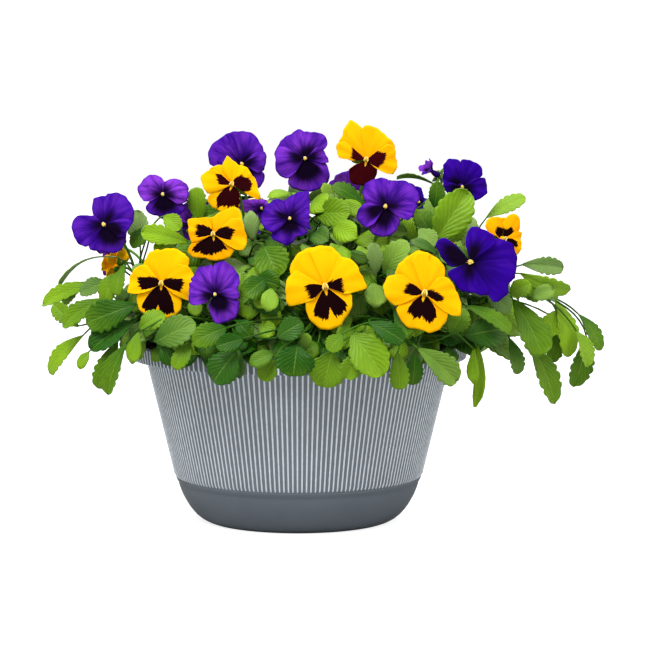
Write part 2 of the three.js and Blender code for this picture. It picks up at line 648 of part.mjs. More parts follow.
function petalSolid(bloom, [pointing, long, wide, lift, notch]) {
  const a = radians(pointing);
  const place = (x, y, thick) =>
    onBloom(bloom, x * Math.cos(a) - y * Math.sin(a), x * Math.sin(a) + y * Math.cos(a), lift + thick);
  const pair = (x, y) => CORNERS.map(([u, w]) => place(x, -u * y, (w * PETAL) / 2));
  const edges = (bloom.eye[1] < 30 ? [112, 52] : [100, 36]).map((degrees) => {
    const beta = radians(degrees);
    const y = (wide / 2) * Math.sin(beta) * (0.86 + 0.2 * Math.cos(beta));
    return pair(long * (0.52 + 0.48 * Math.cos(beta)) * bloom.reach, y * bloom.reach);
  });
  const end = (long - notch) * bloom.reach;
  const tip = [place(end, 0, -PETAL / 2), place(end, 0, PETAL / 2)];
  const last = bloom.eye[1] < 30 ? [tip] : [];
  return strip([[place(-1.6, 0, 0)], pair(3.7, 1.5), ...edges, ...last]);
}

function bloomSolid(bloom) {
  const around = [45, 135, 225, 315].map((degrees) => {
    const a = radians(degrees);
    const out = add(add([0, 0, 0], bloom.right, Math.cos(a)), bloom.up, Math.sin(a));
    return (z, r) => add(add(bloom.eye, bloom.n, z), out, r);
  });
  const hub = capped([[-HUB_BACK, 3.6], [3, 3.3]].map(([z, r]) => around.map((corner) => corner(z, r))));
  return PETALS.reduce((all, petal) => all.add(petalSolid(bloom, petal)), hub);
}

function meshOf(name, solid, color, roughness) {
  const { vertProperties, triVerts } = solid.getMesh();
  const geometry = new THREE.BufferGeometry();
  geometry.setAttribute("position", new THREE.BufferAttribute(new Float32Array(vertProperties), 3));
  geometry.setIndex(new THREE.BufferAttribute(new Uint32Array(triVerts), 1));
  const merged = mergeVertices(geometry, 1e-4);
  merged.computeVertexNormals();
  const mesh = new THREE.Mesh(merged, new THREE.MeshStandardMaterial({ color, roughness, metalness: 0 }));
  mesh.name = name;
  return mesh;
}

const group = new THREE.Group();
group.name = "potted_pansy_planter";
group.add(meshOf("planter", pot, 0x586068, 0.6));
group.add(meshOf("potting_soil", soil, 0x2b2019, 1));
for (const stem of stems) group.add(meshOf(`leafy_stem_${stem.name}`, stemSolid(stem), 0x4f8a22, 0.65));
for (const bloom of blooms) {
  const name = `${bloom.colour}_bloom_${String(bloom.index + 1).padStart(2, "0")}`;
  group.add(meshOf(name, bloomSolid(bloom), bloom.colour === "yellow" ? 0xfdd500 : 0x4a1496, 0.7));
}

export default group;
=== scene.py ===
import math

import bmesh
import bpy
from mathutils import Matrix, Vector


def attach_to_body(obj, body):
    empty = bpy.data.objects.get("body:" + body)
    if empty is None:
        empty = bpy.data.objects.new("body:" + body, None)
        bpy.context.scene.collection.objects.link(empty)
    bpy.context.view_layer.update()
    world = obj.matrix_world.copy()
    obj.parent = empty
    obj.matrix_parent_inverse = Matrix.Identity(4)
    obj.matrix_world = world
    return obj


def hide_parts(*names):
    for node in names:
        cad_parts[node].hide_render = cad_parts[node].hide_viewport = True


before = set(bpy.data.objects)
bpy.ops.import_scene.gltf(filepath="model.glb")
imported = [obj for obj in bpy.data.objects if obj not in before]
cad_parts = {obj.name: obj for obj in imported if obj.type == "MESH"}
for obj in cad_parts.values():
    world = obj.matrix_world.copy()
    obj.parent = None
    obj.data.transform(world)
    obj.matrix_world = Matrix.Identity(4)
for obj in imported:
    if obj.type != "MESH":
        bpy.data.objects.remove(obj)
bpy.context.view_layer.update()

# Potted pansy planter: a ribbed planter, soil, leafy stems and large pansies in yellow and purple.
# The planting is worked out in millimetres, then made in metres.
MM = 0.001

# The camera stands in front, a little above the mound.
EYE = (22.0, -2500.0, 421.0)
LOOK_DOWN = 5.57
LENS = 155.7

# Planter
RIM_RADIUS = 152.5
POT_HEIGHT = 161.0
RIM_BOTTOM_Z = 147.0
WALL_TOP_RADIUS = 137.3
WALL_BOTTOM_RADIUS = 111.4
WALL_BOTTOM_Z = 39.2
WALL_SLOPE = (WALL_TOP_RADIUS - WALL_BOTTOM_RADIUS) / (RIM_BOTTOM_Z - WALL_BOTTOM_Z)
FOOT_TOP_RADIUS = 108.6
FOOT_TOP_Z = 35.7
FOOT_RADIUS = 82.0
WALL = 3.0
FLOOR_Z = 5.0
RIBS = 180
STEPS_PER_RIB = 8
RIB_DEPTH = 1.0
# half of a crest, as a share of the space from rib to rib
RIB_HALF_WIDTH = 0.25
RIBS_FROM_Z = 39.4
RIB_END = 1.6
LIP_Z = 160.9

# Soil
SOIL_EDGE_Z = 150.0
SOIL_TOP_Z = 153.0
ROOTED = 22.0
SOIL_GAP = 0.45

# Stems, stalks, leaves and petals
STEM_RADIUS = 2.4
STEM_FOOT = 2.9
STALK_RADIUS = 1.6
PETIOLE = 0.8
LEAF_THICKNESS = 0.5
PETAL_THICKNESS = 0.45
HUB_BACK = 7.2
# where leaves join a stem, as shares of its length
JOINTS = [0.28, 0.34, 0.4, 0.54, 0.6, 0.66, 0.8, 0.86, 0.92, 0.96]
SHORTEST_PETIOLE = 9
LONGEST_PETIOLE = 95
LONGEST_FILLING_PETIOLE = 62
PETIOLES_TRIED = 40

# Leaves are kept clear of all else by points a PITCH apart.
PITCH = 4.0
CLEAR = 4.6
SIBLING_CLEAR = 3.2
# leaves that fill gaps may come closer, at these shares of the clearances
SMALL_CLOSER = 0.6
BETWEEN_CLOSER = 0.25
ROUND_RIM_CLOSER = 0.2
FILLING_CLOSER = 0.3
# how far leaves stay from the planter
OVER_RIM = 3
FILLING_OVER_RIM = 1.2
DISH = 0.12
SMALLEST = 15
# leaves get painted shade below this height, and painted light on the sprays at both sides
SHADE_PAINTED_BELOW_Z = 215
LIGHT_PAINTED_FROM_X = 145
# how far a leaf of the front may stand from its given depth
SHIFTS = [0, -6, 6, -12, 12, -18, 18, -24, 24, -32, 32]
# what a point belongs to: stems count from 0, blooms from BLOOM_OWNER
BLADE_OWNER = -1
BLOOM_OWNER = 1000
LEAF_OWNER = 2000

# The mound of leaves, and how many places are tried for its large leaves and for the small ones that fill it
MOUND = {"centre": (8, 0, 168), "right": 205, "left": 185, "front": 168, "back": 198, "top": 128}
LARGE_TRIED, LARGE_KEPT = 150, 26
ROUND_RIM_TRIED = 700
LOW_FRONT_TRIED = 900
FILLING_TRIED, FILLING_KEPT = 1500, 380
GOLDEN = 0.6180339887

# Nearer than this, places and leaves are given as the front view shows them.
FRONT_DEPTH = 30
# The first blooms of the list show in the front view.
IN_FRONT = 20

# Blooms: colour, leafy stem, across, height, depth of the eye, span, roll, yaw and pitch of the face.
BLOOMS = [
    ("yellow", "front_middle", 24, 210, -150, 70, 10, 0, 6),
    ("yellow", "front_left", -123, 213, -118, 56, -4, -4, 6),
    ("yellow", "front_right", 113, 204, -150, 67, -12, 4, 10),
    ("yellow", "middle_left", -76, 257, -92, 52, 3, -8, 12),
    ("yellow", "upper_left", -59, 302, -58, 54, -22, -10, 6),
    ("yellow", "crown_right", 61, 324, -32, 56, -12, -8, 4),
    ("yellow", "side_right", 184, 253, -34, 48, -40, 25, 8),
    ("yellow", "side_left", -166, 228, 2, 34, 10, -125, 5),
    ("purple", "shoulder_left", -174, 266, -72, 57, 30, -6, 6),
    ("purple", "high_left", -121, 293, -38, 50, -3, -6, 4),
    ("purple", "crown_left", -51, 320, 6, 56, 25, 12, 6),
    ("purple", "crown", 6, 325, -4, 54, 15, 0, 6),
    ("purple", "middle", -8, 271, -86, 46, 0, 4, 12),
    ("purple", "upper_right", 78, 282, -82, 58, -12, -4, 8),
    ("purple", "high_right", 146, 300, -32, 47, 4, 10, -4),
    ("purple", "shoulder_right", 154, 232, -116, 74, -85, 6, 8),
    ("purple", "low_left", -75, 203, -143, 47, 20, 0, 8),
    ("purple", "upper_left", -34, 280, -26, 44, 8, 20, 10),
    ("purple", "crown_right", 107, 286, 22, 46, 0, 14, 10),
    ("purple", "high_right", 120, 313, -8, 30, 20, -60, 30),
    ("yellow", "back_left", -110, 235, 112, 56, 5, -145, 8),
    ("yellow", "back_middle", 20, 222, 150, 62, -8, 178, 8),
    ("yellow", "back_right", 138, 238, 106, 58, 10, 138, 8),
    ("yellow", "back_crown", -28, 276, 76, 54, 12, 170, 18),
    ("purple", "side_left", -172, 242, 56, 54, 10, -110, 8),
    ("purple", "back_low_left", -56, 228, 146, 56, -12, -165, 8),
    ("purple", "back_near_right", 80, 262, 138, 58, 10, 162, 10),
    ("purple", "back_side_right", 184, 222, 66, 60, 0, 112, 8),
    ("purple", "back_left", -96, 262, 66, 50, 0, -150, 16),
    ("purple", "back_crown", 50, 284, 72, 54, 18, 160, 16),
    ("purple", "back_middle", -14, 246, 118, 50, -6, 175, 14),
    ("purple", "back_side_right", 118, 262, 66, 50, -15, 150, 14),
]

# Leafy stems: name, across and depth of the root in the soil, and the top where no bloom sets it.
STEMS = [
    ("front_middle", 12, -96, None),
    ("front_left", -72, -76, None),
    ("front_right", 62, -92, None),
    ("middle_left", -42, -52, None),
    ("upper_left", -26, -28, None),
    ("crown_right", 34, -4, None),
    ("side_right", 112, -18, None),
    ("side_left", -106, 18, None),
    ("shoulder_left", -104, -30, None),
    ("high_left", -72, -8, None),
    ("crown_left", -28, 14, None),
    ("crown", 4, -6, None),
    ("middle", -4, -52, None),
    ("upper_right", 44, -48, None),
    ("high_right", 78, -24, None),
    ("shoulder_right", 92, -66, None),
    ("low_left", -42, -92, None),
    ("back_left", -62, 60, None),
    ("back_middle", 6, 92, None),
    ("back_right", 82, 66, None),
    ("back_crown", 8, 44, None),
    ("back_low_left", -34, 92, None),
    ("back_near_right", 44, 84, None),
    ("back_side_right", 102, 30, None),
    ("spray_left", -100, -54, (-175, -86, 197)),
    ("spray_right", 107, -42, (215, -62, 208)),
]

# Leaves of the front: across and height of the blade's base and of its tip, their two depths and the blade's
# width. How much it arches and its turn about its own length follow where they aren't 0.1 and 0.
FRONT_LEAVES = [
    (-161, 236, -217, 217, -62, -44, 18, .22, 60),
    (-99, 250, -141, 259, -74, -88, 18),
    (-142, 250, -145, 279, -45, -45, 22, .05),
    (-181, 211, -230, 194, -62, -44, 18, .15, 10),
    (-176, 199, -214, 176, -84, -80, 19, .12),
    (-198, 174, -221, 194, -66, -58, 16, .1, -10),
    (-194, 166, -226, 132, -72, -62, 17, .2),
    (-189, 151, -198, 136, -88, -90, 10),
    (-146, 194, -191, 177, -118, -116, 27, .15, -15),
    (-149, 178, -187, 153, -120, -122, 26, .12, 10),
    (-155, 159, -174, 113, -128, -132, 21, .12, 20),
    (-163, 160, -181, 118, -108, -112, 19, .15, -20),
    (-144, 169, -150, 140, -138, -142, 13),
    (-156, 230, -166, 203, -98, -104, 15, .1, 15),
    (-143, 172, -121, 186, -142, -140, 18),
    (-129, 160, -93, 177, -152, -160, 27, .12),
    (-122, 158, -114, 139, -150, -152, 14),
    (-97, 158, -112, 136, -164, -168, 15),
    (-65, 173, -95, 160, -160, -168, 21, .15),
    (-50, 163, -74, 156, -172, -178, 16, .12, -10),
    (-56, 151, -77, 124, -174, -174, 28, .15),
    (-54, 153, -53, 127, -164, -166, 14, .1, 20),
    (-32, 187, -50, 208, -122, -126, 22),
    (-31, 246, -18, 219, -102, -116, 31, .12),
    (-17, 185, -44, 210, -142, -142, 23),
    (-19, 164, 3, 178, -160, -164, 20, .12),
    (5, 153, 7, 168, -166, -170, 11),
    (39, 167, 27, 152, -168, -172, 15),
    (30, 151, 22, 119, -174, -174, 31, .12),
    (54, 149, 43, 127, -166, -168, 18),
    (-1, 157, -5, 129, -163, -166, 33, .12),
    (-22, 150, -44, 140, -172, -176, 14, .12),
    (-23, 144, -32, 125, -166, -168, 17),
    (48, 182, 29, 171, -156, -162, 16),
    (48, 167, 76, 130, -160, -170, 33, .14),
    (63, 178, 95, 161, -166, -172, 18, .15),
    (77, 221, 96, 250, -98, -112, 24, .15, -25),
    (125, 239, 101, 252, -92, -96, 12, .1, 20),
    (86, 189, 100, 163, -150, -160, 14, .12),
    (89, 151, 91, 117, -168, -170, 17, .12),
    (105, 150, 103, 121, -158, -160, 16),
    (108, 154, 143, 124, -152, -142, 24, .14),
    (149, 166, 190, 173, -112, -98, 28, .14, 15),
    (151, 192, 192, 169, -108, -104, 16, .22, -10),
    (193, 198, 220, 148, -72, -84, 31, .12),
    (229, 202, 248, 148, -42, -48, 25, .12, -8),
    (251, 186, 273, 153, -22, -24, 18, .14),
    (259, 166, 249, 119, -38, -40, 22, .12, 10),
    (208, 158, 234, 105, -62, -66, 25),
    (190, 163, 198, 131, -78, -82, 15, .12),
    (161, 156, 159, 101, -98, -100, 13, -0.2, 60),
    (158, 154, 157, 122, -112, -116, 11, .12, 45),
    (201, 230, 238, 227, -32, -34, 16, .2, 25),
    (199, 222, 244, 206, -48, -50, 18, .18, 60),
    (168, 272, 203, 291, -12, -14, 17, .1, -20),
    (122, 250, 152, 296, -78, -74, 32, .08),
    (59, 284, 31, 302, -34, -36, 17, .1, 10),
    (123, 301, 88, 308, -50, -52, 15, .15, 65),
    (122, 281, 124, 304, -42, -42, 15),
    (29, 286, 23, 303, -8, -8, 14, .1, 20),
    (-7, 294, -28, 292, -30, -34, 13, .12, 30),
    (20, 268, 34, 291, -32, -36, 23),
    (-88, 266, -92, 299, -32, -34, 18),
    (-41, 250, -43, 278, -58, -60, 14),
    (69, 219, 66, 249, -112, -118, 15, .1, 20),
    (40, 241, 63, 233, -104, -110, 12, .1, 30),
    (148, 247, 156, 273, -54, -52, 17),
    (190, 203, 208, 213, -80, -84, 16),
    (225, 185, 243, 166, -24, -20, 19),
    (209, 200, 230, 208, -62, -60, 14),
    (137, 167, 149, 190, -126, -126, 20),
]

# Leaves between them, given in the same way.
MORE_LEAVES = [
    (232, 188, 222, 166, -50, -56, 20),
    (214, 212, 232, 198, -50, -50, 17),
    (196, 216, 214, 196, -66, -70, 20, .12),
    (170, 206, 190, 188, -90, -96, 22, .12),
    (236, 176, 226, 142, -30, -34, 18, .12),
    (250, 170, 262, 138, -46, -48, 18, .12),
    (-196, 214, -212, 194, -54, -50, 18, .12),
    (-172, 214, -196, 204, -70, -66, 17, .12),
    (-164, 222, -176, 196, -84, -86, 18),
    (-134, 262, -150, 246, -56, -58, 16, .12),
    (-108, 252, -128, 240, -80, -86, 17, .12),
    (-120, 274, -106, 262, -52, -60, 15, .12),
    (134, 250, 146, 268, -60, -58, 18),
    (108, 262, 122, 246, -76, -80, 18, .12),
    (119, 255, 106, 279, -52, -48, 20),
    (120, 262, 119, 289, -30, -28, 17),
    (104, 250, 98, 272, -44, -42, 18),
    (128, 262, 134, 284, -40, -38, 16),
]


# Layout


def add(a, b, k=1.0):
    return (a[0] + b[0] * k, a[1] + b[1] * k, a[2] + b[2] * k)


def sub(a, b):
    return (a[0] - b[0], a[1] - b[1], a[2] - b[2])


def dot(a, b):
    return a[0] * b[0] + a[1] * b[1] + a[2] * b[2]


def cross(a, b):
    return (a[1] * b[2] - a[2] * b[1], a[2] * b[0] - a[0] * b[2], a[0] * b[1] - a[1] * b[0])


def size(a):
    return math.sqrt(dot(a, a))


def times(a, k):
    return (a[0] * k, a[1] * k, a[2] * k)


def unit(a):
    return times(a, 1 / size(a))


def mix(a, b, k):
    return add(a, sub(b, a), k)


def quadratic(a, b, c, t):
    return mix(mix(a, b, t), mix(b, c, t), t)


def cubic(a, b, c, d, t):
    return mix(quadratic(a, b, c, t), quadratic(b, c, d, t), t)


def spread(depth):
    """How much wider the front view reaches at a depth than over the planter's axis."""
    return (depth - EYE[1]) / -EYE[1]


def seen(across, height, depth):
    """A place that the front view shows at so much across and so high, at a depth."""
    k = spread(depth)
    return (EYE[0] + (across - EYE[0]) * k, depth, EYE[2] + (height - EYE[2]) * k)


drawn = 2024


def draw(low, high):
    """The next number of a fixed row of random ones."""
    global drawn
    drawn = (drawn * 1664525 + 1013904223) % 4294967296
    return low + (high - low) * drawn / 4294967296


def face_of(roll, yaw, pitch):
    """A bloom's own axes: the way it faces, and right and up on its face."""
    r, y, p = map(math.radians, (roll, yaw, pitch))
    n = (math.sin(y) * math.cos(p), -math.cos(y) * math.cos(p), math.sin(p))
    lifted = unit(sub((0, 0, 1), times(n, n[2])))
    right = add(times(cross(lifted, n), math.cos(r)), lifted, math.sin(r))
    return {"n": n, "right": right, "up": cross(n, right)}


def on_face(bloom, x, y, z):
    """A place right of, above and before the eye of a bloom."""
    return add(add(add(bloom["eye"], bloom["right"], x), bloom["up"], y), bloom["n"], z)


def lay_out_blooms():
    blooms = []
    for index, (colour, stem, across, height, depth, span, roll, yaw, pitch) in enumerate(BLOOMS):
        eye = seen(across, height, depth) if depth < FRONT_DEPTH else (across, depth, height)
        bloom = {"colour": colour, "stem": stem, "index": index, "roll": roll, "eye": eye, "reach": span / 2}
        bloom.update(face_of(roll, yaw, pitch))
        blooms.append(bloom)
    return blooms


def stalk_of(start, bloom):
    """A stalk that rises from a stem and hooks over to the back of its bloom."""
    seat = add(bloom["eye"], bloom["n"], -HUB_BACK - 0.3)
    rise = max(10, 0.45 * size(sub(seat, start)))
    return {"start": start, "lift": add(start, (0, 0, 1), rise), "seat": seat, "bloom": bloom,
            "hook": add(add(seat, bloom["n"], -17), (0, 0, 1), 5)}


def lay_out_stems(blooms):
    """Each stem rises from its hole in the soil to its given top, or else towards its first bloom."""
    stems = []
    for name, x, y, given in STEMS:
        root = (x, y, SOIL_TOP_Z + 4)
        carried = [b for b in blooms if b["stem"] == name]
        top, lift = given, 1.15
        if not given:
            first = carried[0]["eye"]
            end = mix(root, first, 0.62)
            top, lift = (end[0], end[1], root[2] + (first[2] - root[2]) * 0.55), 0.6
        knee = (x + (top[0] - x) * 0.2, y + (top[1] - y) * 0.2, root[2] + (top[2] - root[2]) * lift)
        stalks = [stalk_of(quadratic(root, knee, top, 0.7 if order else 0.97), bloom)
                  for order, bloom in enumerate(carried)]
        stems.append({"name": name, "root": root, "knee": knee, "top": top, "stalks": stalks, "taken": set(),
                      "leaves": []})
    return stems


def blade_of(base, tip, width, arch, turn):
    """A leaf blade that faces out of the mound, turned about its own length by so many degrees."""
    along = sub(tip, base)
    t = unit(along)
    x, y, _ = mix(base, tip, 0.5)
    facing = (x / 420, y / 190 - 0.6, 0.5) if y < FRONT_DEPTH else (x / 190, y / 190 + 0.2, 0.5)
    flat = unit(sub(facing, times(t, dot(facing, t))))
    a = math.radians(turn)
    n = add(times(flat, math.cos(a)), cross(t, flat), math.sin(a))
    return {"base": base, "tip": tip, "t": t, "n": n, "side": cross(t, n), "length": size(along),
            "width": width, "arch": arch, "long": size(along) > 1.7 * width}


def half_width(blade, v):
    """Half of a blade's width, by the share of its length."""
    skew, blunt = (1.5, 0.62) if blade["long"] else (1.15, 0.7)
    share = max(0.0, math.sin(math.pi * v ** skew)) ** blunt
    return PETIOLE + (blade["width"] / 2 - PETIOLE) * share


def on_blade(blade, u, v, widen=1.0, extra=0.0):
    """A place on a blade, from -1 to 1 across it and from 0 to 1 along it."""
    w = half_width(blade, v) * widen
    bow = blade["arch"] * blade["length"] * 2.4 * v * (1 - v) + DISH * w * abs(u) + extra
    p = add(add(blade["base"], blade["t"], blade["length"] * v), blade["side"], u * w)
    return add(p, blade["n"], bow)


# Everything placed so far, in cells, so that a new leaf can be kept clear of it.
cells = {}


def cell_of(p):
    return (math.floor(p[0] / CLEAR), math.floor(p[1] / CLEAR), math.floor(p[2] / CLEAR))


def remember(points, owner, beside_own=0.0):
    for p in points:
        cells.setdefault(cell_of(p), []).append((p, owner, beside_own))


def is_clear(points, owner, share=1.0):
    for p in points:
        i, j, k = cell_of(p)
        for a in (i - 1, i, i + 1):
            for b in (j - 1, j, j + 1):
                for c in (k - 1, k, k + 1):
                    for q, its, beside_own in cells.get((a, b, c), ()):
                        if size(sub(p, q)) < (beside_own if its == owner else CLEAR) * share:
                            return False
    return True


def curve_points(at, length):
    steps = max(2, math.ceil(length / PITCH))
    return [at(i / steps) for i in range(steps + 1)]


def blade_points(blade):
    rows = math.ceil(blade["length"] / PITCH)
    columns = max(2, math.ceil(blade["width"] / PITCH))
    return [on_blade(blade, 2 * j / columns - 1, i / rows)
            for i in range(1, rows + 1) for j in range(columns + 1)]


def bloom_points(bloom):
    steps = math.ceil(bloom["reach"] / PITCH)
    steady = [i / steps * bloom["reach"] for i in range(-steps, steps + 1)]
    return [on_face(bloom, x, y, 0) for x in steady for y in steady if math.hypot(x, y) <= bloom["reach"]]


def over_planter(p, gap):
    return p[2] > POT_HEIGHT + gap or math.hypot(p[0], p[1]) > RIM_RADIUS + gap


def over_soil(p):
    return p[2] > POT_HEIGHT + 2 or (p[2] > SOIL_TOP_Z + 2 and math.hypot(p[0], p[1]) < 130)


def hides_bloom(points):
    """Whether the front view shows a point before a bloom of the front."""
    for p in points:
        k = spread(p[1])
        across, height = EYE[0] + (p[0] - EYE[0]) / k, EYE[2] + (p[2] - EYE[2]) / k
        for _, _, x, z, depth, span, _, _, _ in BLOOMS[:IN_FRONT]:
            if p[1] < depth + 6 and math.hypot(across - x, height - z) < span / 2:
                return True
    return False


def petiole_of(start, blade, bow):
    """A petiole that leaves its stem with a bow and arrives along the blade."""
    reach = size(sub(blade["base"], start))
    bend = add(add(blade["base"], blade["t"], -bow * reach), (0, 0, 1), 0.05 * reach)
    return {"start": start, "bend": bend, "reach": reach}


def petiole_offers(stems, blade, shared, filling):
    """The petioles that could carry a blade, best first, each with its stem and its joint there."""
    bow, longest = (0.2, LONGEST_FILLING_PETIOLE) if filling else (0.45, LONGEST_PETIOLE)
    offers = []
    for owner, stem in enumerate(stems):
        root, knee, top = stem["root"], stem["knee"], stem["top"]
        for share in JOINTS:
            if share in stem["taken"] and not shared:
                continue
            petiole = petiole_of(quadratic(root, knee, top, share + (0.02 if shared else 0)), blade, bow)
            turned = dot(unit(sub(blade["base"], petiole["start"])), blade["t"])
            rising = unit(sub(mix(knee, top, share), mix(root, knee, share)))
            leaving = abs(dot(unit(sub(petiole["bend"], petiole["start"])), rising)) < 0.85
            if leaving and SHORTEST_PETIOLE < petiole["reach"] < longest:
                offers.append((petiole["reach"] * (1.6 - turned), owner, share, petiole))
    offers.sort(key=lambda offer: offer[0])
    return offers


def attach(stems, blade, closer=1.0, shared=False, filling=False):
    """Joins a leaf to the nearest stem that its petiole reaches without crossing anything else.

    Shared leaves may use a joint that has a leaf, and filling ones may not hide a bloom of the front.
    """
    points = blade_points(blade)
    gap = FILLING_OVER_RIM if filling else OVER_RIM
    if not all(over_planter(p, gap) for p in points) or (filling and hides_bloom(points)):
        return False
    if not is_clear(points, BLADE_OWNER, closer):
        return False
    for _, owner, share, petiole in petiole_offers(stems, blade, shared, filling)[:PETIOLES_TRIED]:
        path = curve_points(lambda t: quadratic(petiole["start"], petiole["bend"], blade["base"], t),
                            petiole["reach"])
        if filling and hides_bloom(path):
            continue
        if all(map(over_soil, path)) and is_clear(path, owner, closer):
            remember(path[1:4], owner, SIBLING_CLEAR)
            remember(path[4:] + points, LEAF_OWNER)
            stems[owner]["taken"].add(share)
            stems[owner]["leaves"].append((blade, petiole, filling or blade["width"] < SMALLEST))
            return True
    return False


def attach_front(stems, rows, closer=1.0, shared=False):
    """Leaves given by rows, and returns the rows that found no room."""
    left = []
    for row in rows:
        ax, az, bx, bz, depth_a, depth_b, width = row[:7]
        arch, turn = row[7:] + (0.1, 0)[len(row) - 7:]
        for shift in SHIFTS:
            base, tip = seen(ax, az, depth_a + shift), seen(bx, bz, depth_b + shift)
            if attach(stems, blade_of(base, tip, width, arch, turn), closer, shared):
                break
        else:
            left.append(row)
    return left


def attach_mound(stems, tried, kept, widths, inwards, filling=False):
    """Leaves all over the mound, at so much of its size."""
    count = 0
    for k in range(tried):
        around = 2 * math.pi * ((k * GOLDEN) % 1)
        rise = -0.22 + 1.15 * ((k * GOLDEN * GOLDEN * 7.13) % 1)
        for _ in range(4):
            azimuth = around + draw(-0.12, 0.12)
            up = min(0.97, rise + draw(-0.05, 0.05))
            out = math.sqrt(1 - up * up) * draw(*inwards)
            dx, dy = math.cos(azimuth), math.sin(azimuth)
            x, y, z = MOUND["centre"]
            tip = (x + dx * out * (MOUND["right"] if dx > 0 else MOUND["left"]),
                   y + dy * out * (MOUND["front"] if dy < 0 else MOUND["back"]), z + up * MOUND["top"])
            lean = draw(-0.7, 0.7)
            t = unit((dx - dy * lean, dy + dx * lean, 0.55 * up - draw(0.35, 0.9)))
            width = draw(*widths)
            base = add(tip, t, -draw(1.25, 1.6) * width)
            blade = blade_of(base, tip, width, draw(0.1, 0.18), draw(-20, 20))
            if attach(stems, blade, FILLING_CLOSER if filling else 1.0, shared=filling, filling=filling):
                count += 1
                break
        if count == kept:
            break


def attach_low_front(stems):
    """Small leaves close together behind the front row, from the rim up to the lowest blooms."""
    for _ in range(LOW_FRONT_TRIED):
        across, height = draw(-150, 168), draw(163, 238)
        if height < 182 and abs(across) > 122:
            continue
        depth = -math.sqrt(max(0, 1 - (across / 178) ** 2)) * draw(70, 156)
        down = math.radians(draw(-75, 75))
        width = draw(12, 25)
        length = width * draw(1.05, 1.7)
        tip = (across + length * math.sin(down) * 0.8, depth - 0.35 * length,
               height - length * math.cos(down) * 0.8)
        blade = blade_of((across, depth, height), tip, width, draw(0.08, 0.2), draw(-25, 25))
        attach(stems, blade, FILLING_CLOSER, shared=True, filling=True)


def attach_round_rim(stems):
    """Low leaves that lie on and over the rim, all the way round."""
    for k in range(ROUND_RIM_TRIED):
        around = 2 * math.pi * ((k * GOLDEN) % 1) + draw(-0.1, 0.1)
        aside = around + draw(-0.14, 0.14)
        near, far = draw(118, 146), draw(15, 27)
        base = (near * math.cos(around), near * math.sin(around), draw(164, 182))
        out = near + far
        tip = (out * math.cos(aside), out * math.sin(aside), draw(148 if out > 157 else 162.5, 170))
        if tip[1] < 0 and abs(tip[0]) > 124:
            continue
        blade = blade_of(base, tip, draw(13, 25), draw(0.1, 0.25), draw(-20, 20))
        attach(stems, blade, ROUND_RIM_CLOSER, shared=True, filling=True)


def lay_out():
    """Blooms and stems in their places, then leaves where there is room, the large ones first."""
    blooms = lay_out_blooms()
    stems = lay_out_stems(blooms)
    for i, bloom in enumerate(blooms):
        remember(bloom_points(bloom), BLOOM_OWNER + i)
    for i, stem in enumerate(stems):
        root, knee, top = stem["root"], stem["knee"], stem["top"]
        remember(curve_points(lambda t: quadratic(root, knee, top, t), size(sub(top, root)) * 1.1), i)
        for s in stem["stalks"]:
            far = size(sub(s["seat"], s["start"])) * 1.2
            path = curve_points(lambda t: cubic(s["start"], s["lift"], s["hook"], s["seat"], 0.9 * t), far)
            remember(path, i)
    left = attach_front(stems, [row for row in FRONT_LEAVES if row[6] >= SMALLEST])
    attach_mound(stems, LARGE_TRIED, LARGE_KEPT, (20, 32), (0.86, 0.98))
    left += attach_front(stems, [row for row in FRONT_LEAVES if row[6] < SMALLEST], SMALL_CLOSER, shared=True)
    attach_front(stems, left + MORE_LEAVES, BETWEEN_CLOSER, shared=True)
    attach_round_rim(stems)
    attach_low_front(stems)
    attach_mound(stems, FILLING_TRIED, FILLING_KEPT, (14, 28), (0.45, 0.96), filling=True)
    return blooms, stems


# Making


def metres(p):
    return Vector(p) * MM


def new_bmesh(*values):
    """An empty piece whose points carry the named values."""
    bm = bmesh.new()
    bm.loops.layers.uv.new("UVMap")
    for name in values:
        bm.verts.layers.float.new(name)
    return bm


def mark(bm, verts, **values):
    """Gives points the named values, which the materials read."""
    for name, value in values.items():
        layer = bm.verts.layers.float[name]
        for v in verts:
            v[layer] = value


def finish_piece(bm, name, material, slot, *nodes):
    """Makes a smooth visible piece, which takes the place of the given nodes."""
    for face in bm.faces:
        face.smooth = True
    mesh = bpy.data.meshes.new(name)
    bm.to_mesh(mesh)
    bm.free()
    mesh.materials.append(material)
    piece = bpy.data.objects.new(name, mesh)
    bpy.context.scene.collection.objects.link(piece)
    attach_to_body(piece, "root")
    if nodes:
        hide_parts(*nodes)


def close_up(bm):
    """Joins the parts of a shell that meet, with all its faces outwards."""
    bmesh.ops.remove_doubles(bm, verts=bm.verts, dist=1e-6)
    bmesh.ops.recalc_face_normals(bm, faces=bm.faces)


def sheet(bm, across, up, place, thickness, behind=None, **values):
    """A thin sheet from a grid: place gives the point for u from -1 to 1 across and v from 0 to 1 along."""
    made = bmesh.ops.create_grid(bm, x_segments=across, y_segments=up, size=1, calc_uvs=True)["verts"]
    for name, value in values.items():
        layer = bm.verts.layers.float[name]
        for v in made:
            v[layer] = value(v.co.x, (v.co.y + 1) / 2) if callable(value) else value
    for v in made:
        v.co = metres(place(v.co.x, (v.co.y + 1) / 2))
    faces = list({f for v in made for f in v.link_faces})
    for part in faces + made:
        part.normal_update()
    grown = bmesh.ops.solidify(bm, geom=faces, thickness=thickness * MM)["geom"]
    if behind:
        mark(bm, [g for g in grown if isinstance(g, bmesh.types.BMVert)], **behind)


def axes_at(point, along, side=None):
    """A matrix with its Z along a path."""
    z = Vector(along).normalized()
    x = Vector(side) if side else (Vector((0, 1, 0)) if abs(z.x) > 0.9 else Vector((1, 0, 0)))
    x = (x - z * x.dot(z)).normalized()
    axes = Matrix((x, z.cross(x), z)).transposed().to_4x4()
    axes.translation = metres(point)
    return axes


